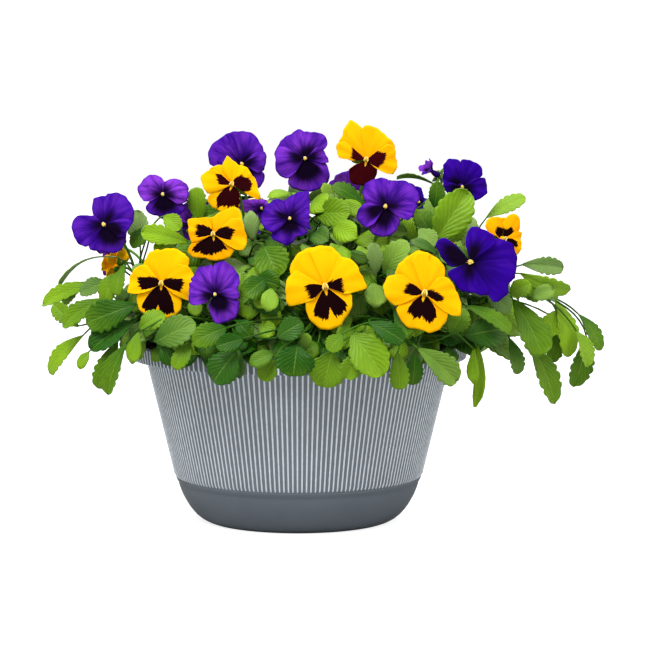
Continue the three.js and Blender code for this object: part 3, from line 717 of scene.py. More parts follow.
def pipe(bm, points, radii, sides, end_facing=None, **values):
    """A round closed stem through the points."""
    ways = [sub(points[min(len(points) - 1, i + 1)], points[max(0, i - 1)]) for i in range(len(points))]
    ways[-1] = end_facing or ways[-1]
    places = [axes_at(p, way) for p, way in zip(points, ways)]
    made = list(bmesh.ops.create_circle(bm, cap_ends=True, segments=sides, radius=radii[0] * MM,
                                        matrix=places[0])["verts"])
    face = made[0].link_faces[0]
    if face.normal.dot(Vector(ways[0])) > 0:
        bmesh.ops.reverse_faces(bm, faces=[face])
    ring = list(face.edges)
    for i in range(1, len(points)):
        step = places[i] @ Matrix.Scale(radii[i] / radii[i - 1], 4) @ places[i - 1].inverted()
        grown = bmesh.ops.extrude_edge_only(bm, edges=ring)["geom"]
        verts = [g for g in grown if isinstance(g, bmesh.types.BMVert)]
        bmesh.ops.transform(bm, matrix=step, verts=verts)
        ring = [g for g in grown if isinstance(g, bmesh.types.BMEdge)]
        made += verts
    bmesh.ops.contextual_create(bm, geom=ring)
    mark(bm, made, **values)


# Materials


def linear(r, g, b):
    """A colour given as it looks, 0 to 255, in the shader's own scale."""
    def one(x):
        x /= 255
        return x / 12.92 if x <= 0.04045 else ((x + 0.055) / 1.055) ** 2.4
    return (one(r), one(g), one(b), 1)


class Value:
    """What a node gives out. The usual signs, and the names below, add further nodes that work on it."""

    def __init__(self, tree, socket):
        self.tree = tree
        self.socket = socket

    def maths(self, kind, *others, clamp=False):
        node = self.tree.nodes.new("ShaderNodeMath")
        node.operation = kind
        node.use_clamp = clamp
        fill(node.inputs, (self,) + others)
        return Value(self.tree, node.outputs[0])

    def __add__(self, other):
        return self.maths("ADD", other)

    def __sub__(self, other):
        return self.maths("SUBTRACT", other)

    def __mul__(self, other):
        return self.maths("MULTIPLY", other)

    def __abs__(self):
        return self.maths("ABSOLUTE")

    def step(self, low, high, to_low=0.0, to_high=1.0):
        """A soft step from low to high."""
        node = self.tree.nodes.new("ShaderNodeMapRange")
        node.interpolation_type = "SMOOTHSTEP"
        fill(node.inputs, (self, low, high, to_low, to_high))
        return Value(self.tree, node.outputs[0])

    def blend(self, a, b):
        """From one colour to another, by this share."""
        node = self.tree.nodes.new("ShaderNodeMix")
        node.data_type = "RGBA"
        fill((node.inputs[0], node.inputs[6], node.inputs[7]), (self, a, b))
        return Value(self.tree, node.outputs[2])

    def split(self):
        node = self.tree.nodes.new("ShaderNodeSeparateXYZ")
        fill(node.inputs, (self,))
        return [Value(self.tree, output) for output in node.outputs]

    def joined(self, y, z):
        node = self.tree.nodes.new("ShaderNodeCombineXYZ")
        fill(node.inputs, (self, y, z))
        return Value(self.tree, node.outputs[0])

    def noise(self, scale, detail=3.0, rough=0.55):
        node = self.tree.nodes.new("ShaderNodeTexNoise")
        inputs = [node.inputs[name] for name in ("Vector", "Scale", "Detail", "Roughness")]
        fill(inputs, (self, scale, detail, rough))
        return Value(self.tree, node.outputs["Fac"])


def fill(sockets, values):
    """Sets inputs to plain values, or links them to the nodes that give them."""
    for socket, value in zip(sockets, values):
        if isinstance(value, Value):
            value.tree.links.new(value.socket, socket)
        else:
            socket.default_value = value


def coordinates(tree, kind="Object"):
    return Value(tree, tree.nodes.new("ShaderNodeTexCoord").outputs[kind])


def carried(tree, *names):
    """Values that the points of a piece carry."""
    values = []
    for name in names:
        node = tree.nodes.new("ShaderNodeAttribute")
        node.attribute_name = name
        values.append(Value(tree, node.outputs["Fac"]))
    return values


def seen_straight(tree):
    """1 where the camera looks straight at it, 0 where it only lights other things."""
    return Value(tree, tree.nodes.new("ShaderNodeLightPath").outputs["Is Camera Ray"])


def material(name):
    made = bpy.data.materials.new(name)
    made.use_nodes = True
    made.node_tree.nodes.clear()
    return made, made.node_tree


def dress(tree, colour, roughness, specular=0.5, bump=None, **others):
    """The shader and its inputs. A bump is its height, strength and distance."""
    shader = tree.nodes.new("ShaderNodeBsdfPrincipled")
    others = {name.replace("_", " "): value for name, value in others.items()}
    others.update({"Base Color": colour, "Roughness": roughness, "Specular IOR Level": specular})
    if bump:
        node = tree.nodes.new("ShaderNodeBump")
        fill([node.inputs[name] for name in ("Height", "Strength", "Distance")], bump)
        others["Normal"] = Value(tree, node.outputs[0])
    fill([shader.inputs[name] for name in others], others.values())
    out = tree.nodes.new("ShaderNodeOutputMaterial")
    tree.links.new(shader.outputs["BSDF"], out.inputs["Surface"])


def planter_material():
    """Slate plastic with off-white paint rubbed on the rib crests."""
    made, tree = material("rubbed_slate_plastic")
    where = coordinates(tree)
    x, y, z = where.split()
    angle = y.maths("ARCTAN2", x)
    place = angle * (RIBS / (2 * math.pi))
    off = abs(place - place.maths("ROUND"))
    streaks = (angle * 60.0).joined(z * 40.0, 0.0).noise(1.0, 2)
    on_band = z.step(0.1465, 0.1475)
    reach = (where.noise(260, 4) - 0.5) * 0.12 + 0.17 - on_band * 0.02
    crest = (reach - off).step(-0.03, 0.05)
    ribbed = z.step(0.0398, 0.0412)
    below_top = z.step(0.1598, 0.1606, 1.0, 0.0)
    radius = (x.maths("POWER", 2.0) + y.maths("POWER", 2.0)).maths("SQRT")
    outside = (radius - z * 0.24).step(0.0985, 0.0995)
    painted = crest * ribbed * (below_top * outside)
    worn = painted * streaks.step(0.12, 0.5, 0.82, 1.0)
    slate = where.noise(34, 3).blend(linear(83, 91, 99), linear(93, 102, 110))
    hazy = (ribbed * 0.2 - on_band * 0.18).blend(slate, linear(170, 178, 184))
    dress(tree, worn.blend(hazy, linear(214, 220, 227)), painted.step(0.0, 1.0, 0.55, 0.68),
          bump=(where.noise(900, 2), 0.06, 0.0004))
    return made


def soil_material():
    """Dark crumbs."""
    made, tree = material("potting_mix")
    crumbs = coordinates(tree).noise(420, 5, 0.7)
    dress(tree, crumbs.step(0.35, 0.7).blend(linear(22, 16, 12), linear(72, 54, 40)), 0.95,
          bump=(crumbs, 0.8, 0.003))
    return made


def leaf_material():
    """Green with paler veins, a greyer underside, brighter or darker from leaf to leaf, with painted shade
    and painted light on each blade and a painted grey sheen on some leaves.
    """
    made, tree = material("pansy_leaf")
    where = coordinates(tree)
    u, v, _ = coordinates(tree, "UV").split()
    tone, hue, stalk = carried(tree, "tone", "hue", "stalk")
    aside = abs(u - 0.5)
    midrib = aside.step(0.006, 0.026, 1.0, 0.0)
    slant = v * 7.0 - aside.maths("POWER", 0.8) * 6.5
    near = abs((slant + where.noise(90, 2) * 0.5).maths("FRACT") - 0.5)
    veins = near.step(0.02, 0.1, 1.0, 0.0) * aside.step(0.3, 0.46, 1.0, 0.0)
    quilt = near.step(0.0, 0.5)
    # per-leaf tone and random patches, with painted shade towards the blade's base and painted light towards
    # its tip
    shade = tone + (where.noise(45, 3) - 0.5) * 0.5 + (v - 0.55) * 0.35
    # painted shade in the vein creases and painted light on the quilted bulges between them
    shade = shade.maths("ADD", (quilt - 0.6) * 0.14, clamp=True)
    # hue moves towards greyer greens: the underside's own colour, and on some leaves a painted grey sheen
    dark = hue.blend(linear(26, 74, 0), linear(50, 90, 22))
    light = hue.blend(linear(124, 162, 22), linear(128, 151, 104))
    pale = midrib.maths("MAXIMUM", veins * 0.4) * 0.24
    veined = pale.blend(shade.blend(dark, light), linear(150, 190, 70))
    colour = stalk.blend(veined, tone.blend(linear(30, 72, 6), linear(86, 134, 26)))
    height = quilt * 0.9 - midrib * 0.9 + where.noise(300, 2) * 0.25
    dress(tree, colour, 0.42, 0.13, (height, 0.3, 0.0012), Subsurface_Weight=0.12,
          Subsurface_Radius=(0.3, 0.6, 0.1), Subsurface_Scale=0.003)
    return made


def petal_material(name, plain, tinted, rim, deep, core, dark, maroon, eye, soft, ragged):
    """Velvety petal: darker towards the throat, with a blotch that ends in fine teeth or streaks."""
    made, tree = material(name)
    u, v, _ = coordinates(tree, "UV").split()
    seed, tone, blotch, stain, patch = carried(tree, "seed", "tone", "blotch", "stain", "patch")
    shift = seed * 40.0
    rays = (u * 50.0).joined(v * 2.2, shift).noise(1.0, 3, 0.6) - 0.5
    # broad patches: they paint highlights in the next lines and make the edge of the deep core ragged
    fans = (u * 7.0).joined(v * 1.6, shift).noise(1.0, 2, 0.5) - 0.5
    mask = (blotch + rays * ragged).step(0.0 if soft < 0.1 else -soft, soft)
    # fine radial streaks of the petal's own colour, and broad painted highlights that stand in for the sheen
    # of the velvet
    streaks_and_highlights = (rays * 0.9 + fans * 1.6) * (tone * 1.3 + 0.2)
    ground = streaks_and_highlights.maths("ADD", tone, clamp=True).blend(plain, tinted)
    outwards = v + (rays + fans) * 0.5
    ground = (outwards.step(0.2, 0.85, 1.0, 0.0) * core).blend(ground, deep)
    ground = (v.step(0.9, 1.0) * 0.5).blend(ground, rim)
    colour = mask.blend(ground, stain.blend(dark, maroon))
    dress(tree, patch.step(0.0, 0.05).blend(colour, eye), 0.8, 0.04, (rays, 0.3, 0.0005))
    return made


def eye_material():
    """A green-yellow knob and cream tufts."""
    made, tree = material("pansy_eye")
    where = coordinates(tree)
    pale = where.noise(500, 2).blend(linear(240, 220, 130), linear(222, 180, 50))
    knob = where.noise(400, 2).blend(linear(214, 170, 20), linear(150, 120, 20))
    dress(tree, carried(tree, "tone")[0].blend(knob, pale), 0.6)
    return made


WHITE = (1, 1, 1, 1)
PLANTER = planter_material()
SOIL = soil_material()
GREEN = leaf_material()
PANSY_EYE = eye_material()
PETALS = {
    "yellow": petal_material(
        "yellow_petal", plain=linear(238, 174, 0), tinted=linear(240, 158, 0), rim=linear(238, 182, 4),
        deep=linear(236, 154, 0), core=0.3, dark=linear(9, 0, 2), maroon=linear(50, 0, 5),
        eye=linear(250, 186, 20), soft=0.02, ragged=0.34),
    "purple": petal_material(
        "purple_petal", plain=linear(40, 0, 130), tinted=linear(130, 54, 196), rim=linear(44, 2, 124),
        deep=linear(22, 0, 76), core=0.82, dark=linear(9, 0, 22), maroon=linear(18, 0, 28),
        eye=linear(226, 192, 60), soft=0.2, ragged=0.3),
}


# Pieces


def turned(bm, profile, steps):
    """A full turn of a profile of radii and heights."""
    verts = [bm.verts.new((r * MM, 0, z * MM)) for r, z in profile]
    edges = [bm.edges.new(pair) for pair in zip(verts, verts[1:])]
    bmesh.ops.spin(bm, geom=verts + edges, cent=(0, 0, 0), axis=(0, 0, 1), angle=2 * math.pi, steps=steps,
                   use_merge=True, use_duplicate=False)


def rib(angle):
    """How far a rib crest stands above its valley, from 0 to 1, by the angle round the planter."""
    place = angle * RIBS / (2 * math.pi)
    off = abs(place - round(place)) / RIB_HALF_WIDTH
    return math.sqrt(max(0.0, 1 - off * off))


def wall(z):
    """The planter's radius over its rib crests, at a height."""
    return WALL_BOTTOM_RADIUS + WALL_SLOPE * (z - WALL_BOTTOM_Z)


def inner_wall(z):
    return wall(z) - WALL - RIB_DEPTH


def build_planter():
    """A turned shell: the ribbed wall and rim band, the smooth foot, and the inside."""
    bm = new_bmesh()
    ledge = RIM_BOTTOM_Z + WALL
    inner_rim = RIM_RADIUS - WALL - RIB_DEPTH - 0.8
    edge = FOOT_TOP_RADIUS + 0.6
    # the rib ends swell out of the smooth step, and the ribs run up to the underside of the rim band
    ribbed = [(edge, 36.2), (110.2, 38.2), (110.55, 38.9), (110.75, 39.6), (111.0, 40.3), (111.35, 41.4)]
    ribbed += [(wall(z), z) for z in (43, 60, 90, 120, 146.2)]
    ribbed += [(wall(147) + 0.8, 147.0), (149.2, 147.0), (150.4, 147.2), (151.0, 148.0), (151.2, 149.5),
               (152.3, 158.5), (152.5, 160.0), (152.0, 160.8), (151.0, 161.0)]
    turned(bm, ribbed, RIBS * STEPS_PER_RIB)
    for v in bm.verts:
        r, z = math.hypot(v.co.x, v.co.y) / MM, v.co.z / MM
        under_band = z > 146.5 and r < 149.5
        if RIBS_FROM_Z < z < LIP_Z and not under_band:
            grown = min(1.0, (z - RIBS_FROM_Z) / RIB_END) ** 0.5
            relief = RIB_DEPTH * (1 - rib(math.atan2(v.co.y, v.co.x)) * grown)
            v.co.x *= (r - relief) / r
            v.co.y *= (r - relief) / r
    foot = [(0, 0.0), (58, 0.0), (78, 0.0), (FOOT_RADIUS, 0.0), (84.5, 0.9), (87, 2.2), (89, 3.4),
            (92.9, 6.6), (96.5, 10.6), (99.4, 14.6), (102, 19), (104.5, 23.6), (106.5, 28.5), (107.8, 32.2),
            (FOOT_TOP_RADIUS, FOOT_TOP_Z), (edge, 36.2)]
    turned(bm, foot, 180)
    inside = [(151.0, 161.0), (inner_rim + 0.6, POT_HEIGHT), (inner_rim, POT_HEIGHT - 0.8),
              (inner_rim - 0.8, ledge), (inner_wall(ledge), ledge), (inner_wall(45), 45), (97, 24),
              (84, FLOOR_Z), (0, FLOOR_Z)]
    turned(bm, inside, 120)
    close_up(bm)
    finish_piece(bm, "ribbed_planter", PLANTER, "planter_plastic", "planter")


def build_soil():
    """The filling up to just under the rim, with a lumpy top."""
    bm = new_bmesh()
    edge = RIM_RADIUS - WALL - RIB_DEPTH - 2.1
    side = [(0, 5.4), (83, 5.4), (96, 24.4), (inner_wall(45) - SOIL_GAP, 45),
            (inner_wall(150) - SOIL_GAP, 150.4), (edge, 150.4)]
    top = [(edge * k / 24, SOIL_TOP_Z + 2 - 2.2 * (k / 24) ** 2) for k in range(24, -1, -1)]
    turned(bm, side + top, 96)
    close_up(bm)
    for v in bm.verts:
        if v.co.z > 150.8 * MM:
            x, y = v.co.x / MM, v.co.y / MM
            lump = math.sin(x * 0.31 + 1.3 * math.sin(y * 0.23))
            lump += math.sin(y * 0.37 + 1.1 * math.sin(x * 0.19))
            v.co.z += 0.6 * MM * lump
    finish_piece(bm, "soil_filling", SOIL, "potting_mix", "potting_soil")


def leaf(bm, blade, petiole, small):
    """A crenate blade on its petiole, with a green and a bend of its own."""
    base, long, half = blade["base"], blade["long"], blade["width"] / 2
    seed = base[0] * 0.7 + blade["tip"][2] * 1.3
    shade = 0.5 + 0.5 * math.sin(seed * 3.7)
    # painted shade on leaves low in the mound, painted light on the sprays at both sides
    low = min(1.0, max(0.0, (SHADE_PAINTED_BELOW_Z - base[2]) / 50))
    tone = 0.1 + 0.8 * shade + (0.15 if abs(base[0]) > LIGHT_PAINTED_FROM_X else -0.4 * low)
    # a greyer green on some leaves: partly their own grey-green, partly a painted grey sheen
    hue = max(0.0, math.sin(seed * 1.9)) ** 3 * 0.65
    teeth = 3 if small else 4 if long else 5
    first_tooth, notch, taper = (0.4, 0.3, 1.5) if long else (0.2, 0.2, 1.15)
    fold = 0.16 * math.sin(seed * 2.3) + 0.06
    twist = 0.22 * math.sin(seed * 5.1)
    curl = (0.05 + 0.05 * math.sin(seed * 4.3)) * blade["length"]

    def place(u, v):
        tooth = 1.0
        if v > first_tooth:
            s = (v - first_tooth) / (1 - first_tooth) * teeth
            tooth = 1.06 - notch * abs(2 * (s % 1) - 1) ** 3.5
        side = 1 if u > 0 else -1
        wave = 0.08 * half * u * u * math.sin(6.5 * v + seed + side * 1.1)
        quilting = 0.012 * half * math.sin(2 * math.pi * (6 * v - 1.4 * abs(u))) * abs(u) * (1 - abs(u)) * 4
        groove = -0.5 * math.exp(-((u / 0.1) ** 2)) * min(1, 5 * v) * min(1, half / 12)
        bent = (fold * abs(u) + twist * u * (v - 0.4)) * half * min(1, 3 * v) - curl * v ** 3
        blunt = max(0.03, math.sin(math.pi * v ** taper)) ** -0.16 if v > 0.7 else 1.0
        return on_blade(blade, u, v, blunt * (1 + (tooth - 1) * abs(u)), wave + quilting + groove + bent)

    underside = {"hue": min(1.0, hue + 0.45)}
    across, up = (4, 6) if small else (10, teeth * 6)
    sheet(bm, across, up, place, LEAF_THICKNESS, underside, tone=tone, hue=hue)
    start = petiole["start"]
    bend = mix(petiole["bend"], mix(start, base, 0.5), 0.5)
    steps = 3 if small else max(3, min(7, round(petiole["reach"] / 9)))
    points = [quadratic(start, bend, base, i / steps) for i in range(steps)]
    points.append(add(base, blade["t"], 0.02 * blade["length"]))
    pipe(bm, points, [1.1] + [0.85] * (steps - 1) + [0.7], 4 if small else 6, stalk=1.0, tone=0.4 * shade)


def sepals(bm, bloom):
    """Five green sepals behind a bloom."""
    length = 0.42 * bloom["reach"]
    for k in range(5):
        a = 2 * math.pi * (k + 0.5) / 5 + math.pi / 2
        out = add(times(bloom["right"], math.cos(a)), bloom["up"], math.sin(a))
        side = cross(bloom["n"], out)

        def place(u, v):
            w = 2.6 * math.sin(math.pi * min(1, 0.12 + 0.88 * v)) ** 0.8 + 0.1
            p = on_face(bloom, 0, 0, 0.6 - HUB_BACK - 1.3 + 1.8 * v * (1 - v) - 0.4 * u * u)
            return add(add(p, out, 2.4 + length * v), side, u * w)

        sheet(bm, 3, 6, place, LEAF_THICKNESS, tone=0.35, hue=0.2)


def build_stem(stem):
    """A stem with its stalks, sepals and leaves, grown as one piece."""
    bm = new_bmesh("tone", "hue", "stalk")
    root, knee, top = stem["root"], stem["knee"], stem["top"]
    path = [(root[0], root[1], SOIL_EDGE_Z - ROOTED + 12)]
    path += [quadratic(root, knee, top, t / 8) for t in range(9)]
    radii = [STEM_FOOT - 0.5] * 2 + [STEM_RADIUS - 0.3 - 0.04 * k for k in range(8)]
    pipe(bm, path, radii, 8, stalk=1.0, tone=0.45)
    for stalk in stem["stalks"]:
        # thicker where it swells into the bloom
        path = [cubic(stalk["start"], stalk["lift"], stalk["hook"], stalk["seat"], t / 12) for t in range(13)]
        radii = [STALK_RADIUS - 0.35] * 11 + [STALK_RADIUS, 2.3]
        pipe(bm, path, radii, 7, stalk["bloom"]["n"], stalk=1.0, tone=0.6)
        sepals(bm, stalk["bloom"])
    for blade, petiole, small in stem["leaves"]:
        leaf(bm, blade, petiole, small)
    finish_piece(bm, "green_" + stem["name"], GREEN, "leaf_green", "leafy_stem_" + stem["name"])


# Each face is five petals from the back to the front: two upper ones, the lower one, left and right. A petal
# is its rim, then its dark blotch, each a row of angle, distance, angle, distance. Angles are degrees on the
# face (0 right, 90 up), and distances from the eye are shares of the bloom's reach.
PLAIN_FACE = (
    ((70, .75, 85, .98, 110, 1.1, 135, 1.05, 155, .9, 168, .65), ()),
    ((12, .65, 25, .9, 45, 1.05, 70, 1.1, 95, .98, 110, .75), ()),
    ((198, .6, 215, .75, 235, .92, 255, 1.03, 270, 1, 285, 1.03, 305, .92, 325, .75, 342, .6),
     (226, .2, 234, .66, 245, .76, 262, .78, 269, .66, 276, .78, 295, .76, 306, .66, 314, .2)),
    ((125, .65, 140, .9, 158, 1.02, 180, 1.05, 196, 1, 205, .8, 212, .45),
     (130, .15, 150, .3, 164, .52, 180, .56, 196, .55, 206, .4, 214, .2)),
    ((-32, .45, -25, .8, -16, 1, 0, 1.05, 22, 1.02, 40, .9, 55, .65),
     (-34, .2, -26, .4, -16, .55, 0, .56, 16, .52, 30, .3, 50, .15)),
)
FACES = {
    0: (
        ((75, .95, 98, 1, 117, 1.03, 138, 1.02, 153, .98, 165, .8), ()),
        ((45, .7, 63, .84, 77, .94, 98, 1, 115, .95), ()),
        ((205, .5, 225, .67, 236, .78, 251, .93, 265, 1.05, 280, 1.02, 291, 1.03, 304, .9, 326, .78, 343, .67,
          352, .5),
         (238, .3, 243, .66, 252, .76, 268, .82, 276, .78, 282, .52, 288, .78, 298, .81, 312, .76, 322, .68,
          326, .3)),
        ((150, .8, 161, .88, 174, .95, 184, .97, 196, .98, 209, 1, 213, .8, 219, .61, 228, .4),
         (150, .08, 163, .2, 172, .4, 178, .5, 202, .46, 219, .49, 236, .24)),
        ((-20, .5, -10, .74, -2, 1, 22, .915, 39, .916, 52, .88, 66, .8),
         (-27, .23, -19, .47, -4, .45, 20, .45, 27, .49, 37, .25, 68, .09)),
    ),
    1: (
        ((80, .95, 97, 1.06, 112, 1.02, 129, .88, 145, .75), ()),
        ((25, .8, 34, .96, 43, 1.14, 61, 1.15, 79, 1.09, 100, 1, 115, .85), ()),
        ((198, .6, 204, .84, 219, .96, 233, 1.07, 252, 1.1, 270, 1.1, 288, 1.09, 308, .98, 318, .84, 326, .64,
          335, .5),
         (214, .25, 222, .6, 229, .97, 248, .99, 255, .93, 262, .66, 269, .93, 280, .97, 295, 1, 302, .66,
          312, .3, 320, .1)),
        ((128, .7, 138, .83, 152, .92, 170, 1.02, 185, .99, 195, 1.1, 203, .84, 213, .36),
         (120, .15, 140, .3, 156, .47, 168, .76, 185, .7, 197, .66, 207, .34, 214, .2)),
        ((-42, .5, -39, .61, -32, 1.03, -12, 1, 8, 1.02, 20, 1, 34, .96, 48, .8),
         (-36, .2, -30, .35, -24, .66, -5, .68, 10, .7, 21, .41, 40, .25, 63, .18)),
    ),
    2: (
        ((80, 1, 95, 1.1, 113, 1.04, 133, .95, 146, .88, 160, .6), ()),
        ((28, .5, 38, .67, 49, .82, 61, .91, 77, 1.02, 95, 1.08, 110, .9), ()),
        ((200, .6, 207, .79, 222, .88, 240, .95, 260, .91, 276, 1, 292, .98, 307, .91, 317, .81, 326, .6),
         (212, .15, 219, .48, 226, .62, 247, .7, 258, .66, 264, .6, 268, .68, 277, .76, 295, .71, 306, .54,
          312, .15)),
        ((138, .7, 146, .88, 154, 1, 169, 1.05, 181, 1.03, 194, .9, 203, .78, 207, .5),
         (105, .12, 130, .25, 150, .48, 155, .52, 178, .55, 186, .4, 198, .22)),
        ((-46, .4, -41, .86, -34, 1.05, -16, .98, 4, .8, 27, .74, 38, .67, 50, .5),
         (-42, .2, -32, .4, -25, .51, -14, .52, -4, .4, 11, .28, 45, .12)),
    ),
    3: (
        ((90, .5, 105, .58, 125, .65, 140, .7, 155, .6), ()),
        ((20, .8, 30, 1.05, 47, 1.18, 58, 1.16, 68, .9, 79, .76, 95, .6, 112, .6, 125, .5), ()),
        ((196, .6, 203, .85, 213, 1.07, 224, 1.03, 251, .84, 280, .88, 304, .93, 323, .89, 332, .6),
         (206, .2, 211, .8, 216, .9, 238, .77, 263, .71, 288, .65, 305, .66, 314, .69, 320, .42, 328, .2)),
        ((104, .5, 112, .6, 125, .68, 136, .77, 151, 1.03, 166, .88, 188, .8, 201, .8, 208, .5),
         (100, .15, 125, .3, 143, .5, 151, .69, 165, .62, 178, .63, 192, .55, 198, .2)),
        ((-36, .6, -34, .9, -27, 1.17, -6, 1.11, 11, 1.06, 30, 1.05, 45, .8),
         (-28, .2, -22, .4, -18, .65, -5, .64, 5, .7, 11, .77, 25, .58, 45, .3, 60, .18)),
    ),
    4: (
        ((108, .6, 119, .73, 129, .81, 149, .93, 160, .9), ()),
        ((60, .6, 76, .66, 93, .79, 104, .95, 111, .83, 119, .73, 130, .6), ()),
        ((200, .6, 204, .86, 212, .98, 228, 1.02, 239, .98, 255, .95, 270, .9, 281, .88, 292, .65, 301, .48,
          312, .35),
         (205, .2, 212, .4, 218, .62, 228, .8, 236, .92, 247, .8, 255, .75, 278, .74, 281, .9, 290, .7,
          301, .5, 315, .3)),
        ((140, .75, 149, .9, 166, 1.09, 178, 1.02, 192, .94, 202, .86, 208, .5),
         (95, .2, 128, .44, 140, .52, 150, .65, 160, .55, 180, .46, 190, .2)),
        ((-34, .6, -29, 1.1, -15, .92, -2, .82, 24, .72, 50, .71, 76, .66, 88, .5),
         (-50, .2, -43, .26, -32, .5, -15, .68, 8, .63, 20, .58, 34, .47, 70, .2)),
    ),
    5: (
        ((84, .7, 93, .95, 99, 1, 106, 1.2, 114, 1.38, 124, 1.25, 135, 1.12, 150, 1.06, 160, .9), ()),
        ((15, .8, 25, .99, 47, .97, 69, 1.02, 94, 1.11, 99, 1.02, 104, .7), ()),
        ((205, .4, 209, .64, 222, .75, 235, .87, 255, .85, 275, .8, 298, .62, 318, .45, 325, .3),
         (195, 1.2, 335, 1.2)),
        ((140, .9, 150, 1.05, 159, 1.06, 168, .96, 177, .88, 180, .6, 188, .4),
         (90, .2, 108, .35, 122, .52, 138, .62, 155, .52, 173, .5, 190, .35, 203, .2)),
        ((-42, .3, -40, .44, -33, .8, -28, .99, -13, 1, 4, .92, 13, .96, 25, .98, 38, .8),
         (-42, .3, -34, .47, -22, .5, -10, .57, 0, .6, 14, .68, 30, .52, 61, .2)),
    ),
    6: (
        ((65, .8, 75, .83, 90, .8, 105, .86, 121, .93, 143, .85, 155, .6),
         (60, .42, 80, .42, 110, .5, 125, .45, 138, .4, 150, .25)),
        ((15, .7, 26, .89, 46, 1.11, 62, 1.06, 74, .83, 85, .6),
         (15, .3, 25, .5, 35, .58, 47, .6, 60, .42, 85, .42)),
        ((180, .6, 195, .8, 215, .9, 235, .85, 250, .6), (180, .3, 215, .6, 250, .3)),
        ((225, .5, 240, .8, 262, .9, 285, .85, 298, .6), (230, .3, 262, .5, 295, .3)),
        ((-62, .5, -49, .82, -30, .78, -2, .71, 15, .8, 28, .6),
         (-50, .4, -40, .5, -33, .6, -15, .55, -5, .4, 5, .2)),
    ),
    8: (
        ((80, .7, 88, .9, 100, .88, 115, .86, 127, .68, 140, .5, 150, .35), (90, .2, 130, .15)),
        ((-5, .6, 4, .88, 29, 1.01, 51, 1.07, 69, 1.04, 86, .95, 95, .7), (30, .25, 57, .46, 80, .3, 95, .2)),
        ((225, .7, 240, .9, 265, .82, 288, .93, 305, .93, 322, .82, 335, .7, 345, .5),
         (240, .3, 255, .5, 272, .66, 308, .78, 330, .75, 345, .6)),
        ((140, .4, 148, .48, 157, .7, 162, .88, 176, .99, 193, 1.02, 216, .99, 232, .9, 240, .6),
         (150, .2, 175, .35, 200, .35, 225, .25)),
        ((318, .6, 330, .75, 341, .73, 356, .83, 364, .88, 372, .8, 380, .5),
         (318, .7, 340, .68, 360, .5, 375, .3)),
    ),
    9: (
        ((78, .3, 90, .46, 99, .6, 113, .75, 125, .84, 140, .89, 151, .93, 166, .96, 178, .85),
         (90, .25, 140, .25)),
        ((0, .8, 14, .92, 24, .9, 40, .78, 51, .7, 66, .6, 80, .46, 90, .42, 102, .3), (40, .3, 90, .3)),
        ((205, .5, 215, .8, 223, .85, 254, .8, 272, .9, 294, .79, 310, .9, 325, .95, 335, .8, 342, .5),
         (225, .5, 236, .66, 272, .72, 311, .72, 330, .5)),
        ((150, .6, 162, .95, 177, .92, 190, .8, 200, .72, 210, .5), (155, .3, 180, .4, 205, .35)),
        ((325, .6, 340, .85, 360, .92, 375, .9, 390, .6), (330, .4, 355, .4, 385, .3)),
    ),
    10: (
        ((85, .9, 95, 1.07, 116, 1.06, 130, 1.06, 138, 1.12, 155, 1.11, 168, 1.08, 180, 1, 190, .7), ()),
        ((20, .7, 27, .85, 49, .96, 64, 1.06, 79, 1.08, 95, 1.07, 118, 1.05, 128, .9),
         (20, .4, 45, .5, 70, .25, 100, .1)),
        ((230, .6, 260, .8, 290, .9, 304, .95, 320, .94, 336, .85, 345, .6),
         (235, .5, 280, .6, 320, .6, 345, .4)),
        ((150, .6, 165, .8, 190, .8, 210, .6), (160, .3, 200, .3)),
        ((-30, .6, -16, .75, 10, .82, 27, .87, 40, .6), (-25, .3, 0, .4, 30, .5)),
    ),
    11: (
        ((85, .85, 92, .89, 103, 1.01, 118, .96, 137, .98, 150, 1, 157, 1.02, 165, .8),
         (80, .4, 105, .35, 140, .3)),
        ((20, .5, 30, .85, 33, .9, 47, 1, 63, .97, 80, .9, 92, .89, 100, .7),
         (30, .45, 50, .5, 75, .45, 90, .42, 105, .3)),
        ((225, .7, 236, 1.02, 256, 1.08, 278, 1.1, 299, 1.12, 316, 1.08, 328, .95, 338, .83, 348, .7),
         (230, .4, 240, .7, 250, .79, 275, .83, 300, .8, 314, .77, 330, .6)),
        ((150, .8, 157, 1, 172, 1.02, 184, .98, 194, 1.03, 212, 1.02, 228, .93, 235, .6),
         (140, .35, 155, .5, 175, .5, 195, .45, 215, .3)),
        ((-15, .6, -9, .8, 9, .7, 25, .68, 34, .7, 45, .5), (-12, .4, 10, .45, 34, .5)),
    ),
    12: (
        ((95, .7, 110, .77, 120, .9, 128, .97, 145, .98, 155, .8), (95, .2, 140, .3)),
        ((25, .8, 34, .92, 48, 1.13, 55, 1.33, 62, 1.22, 70, 1.12, 80, .95, 92, .84, 105, .7),
         (35, .3, 50, .42, 65, .35, 90, .2)),
        ((212, .7, 222, .95, 233, 1, 250, .98, 261, 1.02, 272, .94, 292, .73, 317, .84, 326, .9, 332, .6),
         (205, .4, 213, .58, 240, .58, 264, .58, 306, .58, 325, .45, 340, .3)),
        ((140, .8, 150, 1, 161, 1.03, 176, 1.09, 195, 1.04, 210, .95, 220, .8, 226, .5),
         (140, .4, 155, .6, 172, .45, 190, .3)),
        ((-30, .8, -28, .94, -15, .76, 0, .75, 13, .77, 34, .9, 42, .6), (-30, .3, 10, .3, 40, .3)),
    ),
    13: (
        ((80, .75, 90, .85, 102, .89, 119, .93, 131, .92, 148, .82, 160, .7, 169, .6),
         (90, .2, 105, .36, 118, .36, 135, .2)),
        ((5, .8, 11, 1.04, 31, 1.06, 49, 1, 68, .84, 84, .82, 95, .6), (5, .35, 30, .25, 60, .15)),
        ((225, .6, 235, .87, 248, .9, 268, .93, 287, .83, 305, .7, 318, .6, 325, .4),
         (225, .5, 245, .66, 268, .7, 290, .5, 310, .4, 330, .3)),
